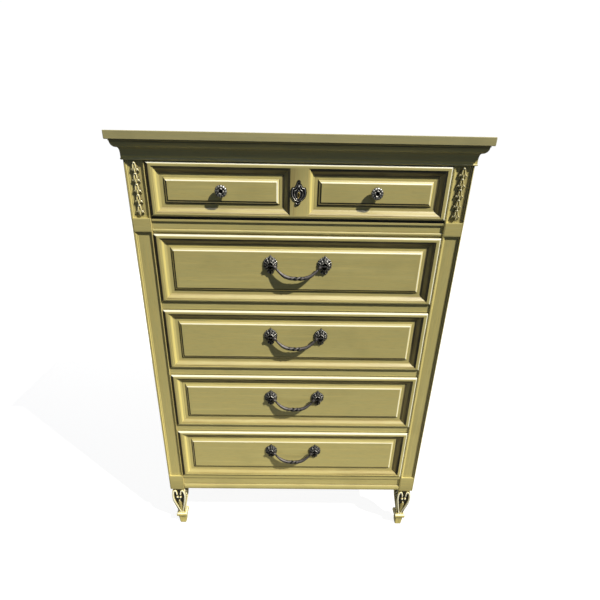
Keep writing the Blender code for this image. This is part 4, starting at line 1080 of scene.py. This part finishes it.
def knob(hand):
    """A gadrooned knob: twelve lobes round the rim, a twisted ring inside and a deep eye."""
    node = "knob_" + hand
    cx, _, cz = centre(node)
    foot = FIELD_Y - 0.3 * MM
    turns = circle(144)
    rows, tones = [], []

    def ring(radius, rise, tone):
        radius, rise, tone = (v + 0 * turns for v in (radius, rise, tone))
        rows.append(np.stack([cx + radius * MM * np.cos(turns), foot - rise * MM,
                              cz + radius * MM * np.sin(turns)], 1))
        tones.append(tone)

    for radius, rise, tone in ((8.2, 0, 0.9), (8.4, 1.0, 0.3), (7.4, 1.9, 0.6), (5.2, 3.0, 0.8),
                               (4.8, 6.0, 0.6), (6.0, 7.6, 0.7)):
        ring(radius, rise, tone)
    for share in np.linspace(0, 1, 26):
        t = (-0.42 + 1.12 * share) * math.pi
        lobe = np.abs(np.cos(6 * turns + 0.9 * share)) ** 0.55
        fade = math.sin(math.pi * min(max(share, 0.04), 0.96)) ** 0.4
        size = 4.9 + (4.1 + 1.0 * lobe - 4.9) * fade
        ring(11.2 + size * math.cos(t), 12.4 + size * 0.95 * math.sin(t),
             np.clip(1.15 - 1.25 * lobe * fade, -0.2, 1))
    ring(8.6, 14.2, 1.0)
    for share in np.linspace(0, 1, 20):
        t = (-0.18 + 1.14 * share) * math.pi
        twist = np.cos(4 * turns + 1.2 * share)
        size = 1.9 + 0.35 * twist
        ring(6.5 + 0.5 * twist + size * math.cos(t), 15.9 + size * 1.3 * math.sin(t),
             np.clip(0.25 - 0.5 * twist, -0.2, 1))
    for radius, rise in ((4.1, 14.0), (3.9, 10.6), (2.0, 10.2), (0.3, 10.1)):
        ring(radius, rise, 1.0)
    shape = Shape()
    shape.grid(rows, tones)
    rod(shape, cx, cz, [(foot + 0.1 * MM, 2.2 * MM), (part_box(node)[1].y, 2.2 * MM)], 18, 0.5)
    make(node + "_cast", shape, [PEWTER], "drawer_1", [node], smooth=45)


def keyhole_plate():
    """A keyhole plate: a leaf cap, ridges that follow its outline, a brass liner round the slot."""
    node = "keyhole_plate"
    low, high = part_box(node)
    cz = centre(node)[2]
    outline = closed_outline(PLATE, 160)
    angle = np.arctan2(outline[:, 0], outline[:, 1])
    outline[:, 0] -= 0.12 * step(-outline[:, 1], 0.60, 1.0)
    turns = circle(len(outline))
    cap = np.exp(-(angle / 0.30) ** 2)
    tail = np.exp(-((np.abs(angle) - math.pi) / 0.30) ** 2)
    flute = 0.5 + 0.5 * np.cos(angle * 7)
    middle = -1.2 * MM

    def slot(across, up):
        return np.stack([across * MM * np.sin(turns), up * MM * np.cos(turns) - 5.5 * MM], 1)

    def height(r):
        return (1.0 + 1.9 * peak(r, 0.82, 0.08) * (1 - 0.5 * cap)
                + 1.6 * peak(r, 0.46, 0.09) * (0.6 + 0.4 * flute) + 0.9 * peak(r, 0.10, 0.07)
                + 1.2 * cap * peak(r, 0.9, 0.12) + 0.9 * tail * peak(r, 0.8, 0.15)) * MM

    def glaze(r):
        # The leaf cap at the top is painted lighter as a highlight and the tail at the bottom
        # darker as shade.
        tone = (1.1 - 1.45 * peak(r, 0.80, 0.07) * (1 - 0.6 * cap)
                - 1.4 * peak(r, 0.45, 0.08) * (0.45 + 0.55 * flute) - 0.8 * peak(r, 0.12, 0.05)
                - 0.5 * cap * peak(r, 0.60, 0.08) + 1.1 * tail * peak(r, 0.82, 0.12))
        return np.clip(tone, 0.1, 1.1)

    def slot_rows(sizes):
        return [[(middle + x, high.y - off * MM, cz + z) for x, z in slot(across, up)]
                for across, up, off in sizes]

    shape = Shape()
    radial_plate(shape, outline * (1.03, 1.0), (middle, cz), ((high.x - low.x) / 2, 32.4 * MM),
                 height, glaze, high.y, 40, hole=slot(2.7, 7.2))
    tones = [[tone] * len(turns) for *_, tone in LINER]
    shape.grid(slot_rows(row[:3] for row in LINER), tones, slot=1, caps=(True, False))
    shape.grid(slot_rows([(1.55, 6.05, 0.2), (1.55, 6.05, 0.6)]), [[1.1] * len(turns)] * 2)
    make(node + "_cast", shape, [PEWTER, BRASS], "drawer_1", [node], smooth=45)


# ---- assembly

def dress():
    for number in range(1, 6):
        drawer_front(number)
        for hand in ("left", "right"):
            repaint(f"drawer_{number}_side_{hand}", BARE["Y"])
        repaint(f"drawer_{number}_back", BARE["X"])
        repaint(f"drawer_{number}_bottom", PLY)
    for side in (-1, 1):
        post(side)
        garland(side)
    cornice()
    rails()
    for end in ("front", "rear"):
        for hand in ("left", "right"):
            leg(f"leg_{end}_{hand}")
    for number in range(2, 6):
        for hand in ("left", "right"):
            pull_post(number, hand)
        bail(number)
    for hand in ("left", "right"):
        knob(hand)
        repaint("side_panel_" + hand, PAINT["Z"])
        repaint("runner_rack_" + hand, BARE["Y"])
    keyhole_plate()
    repaint("top_board", TOP_PAINT)
    repaint("back_panel", PLY)


add_camera()
add_studio()
dress()
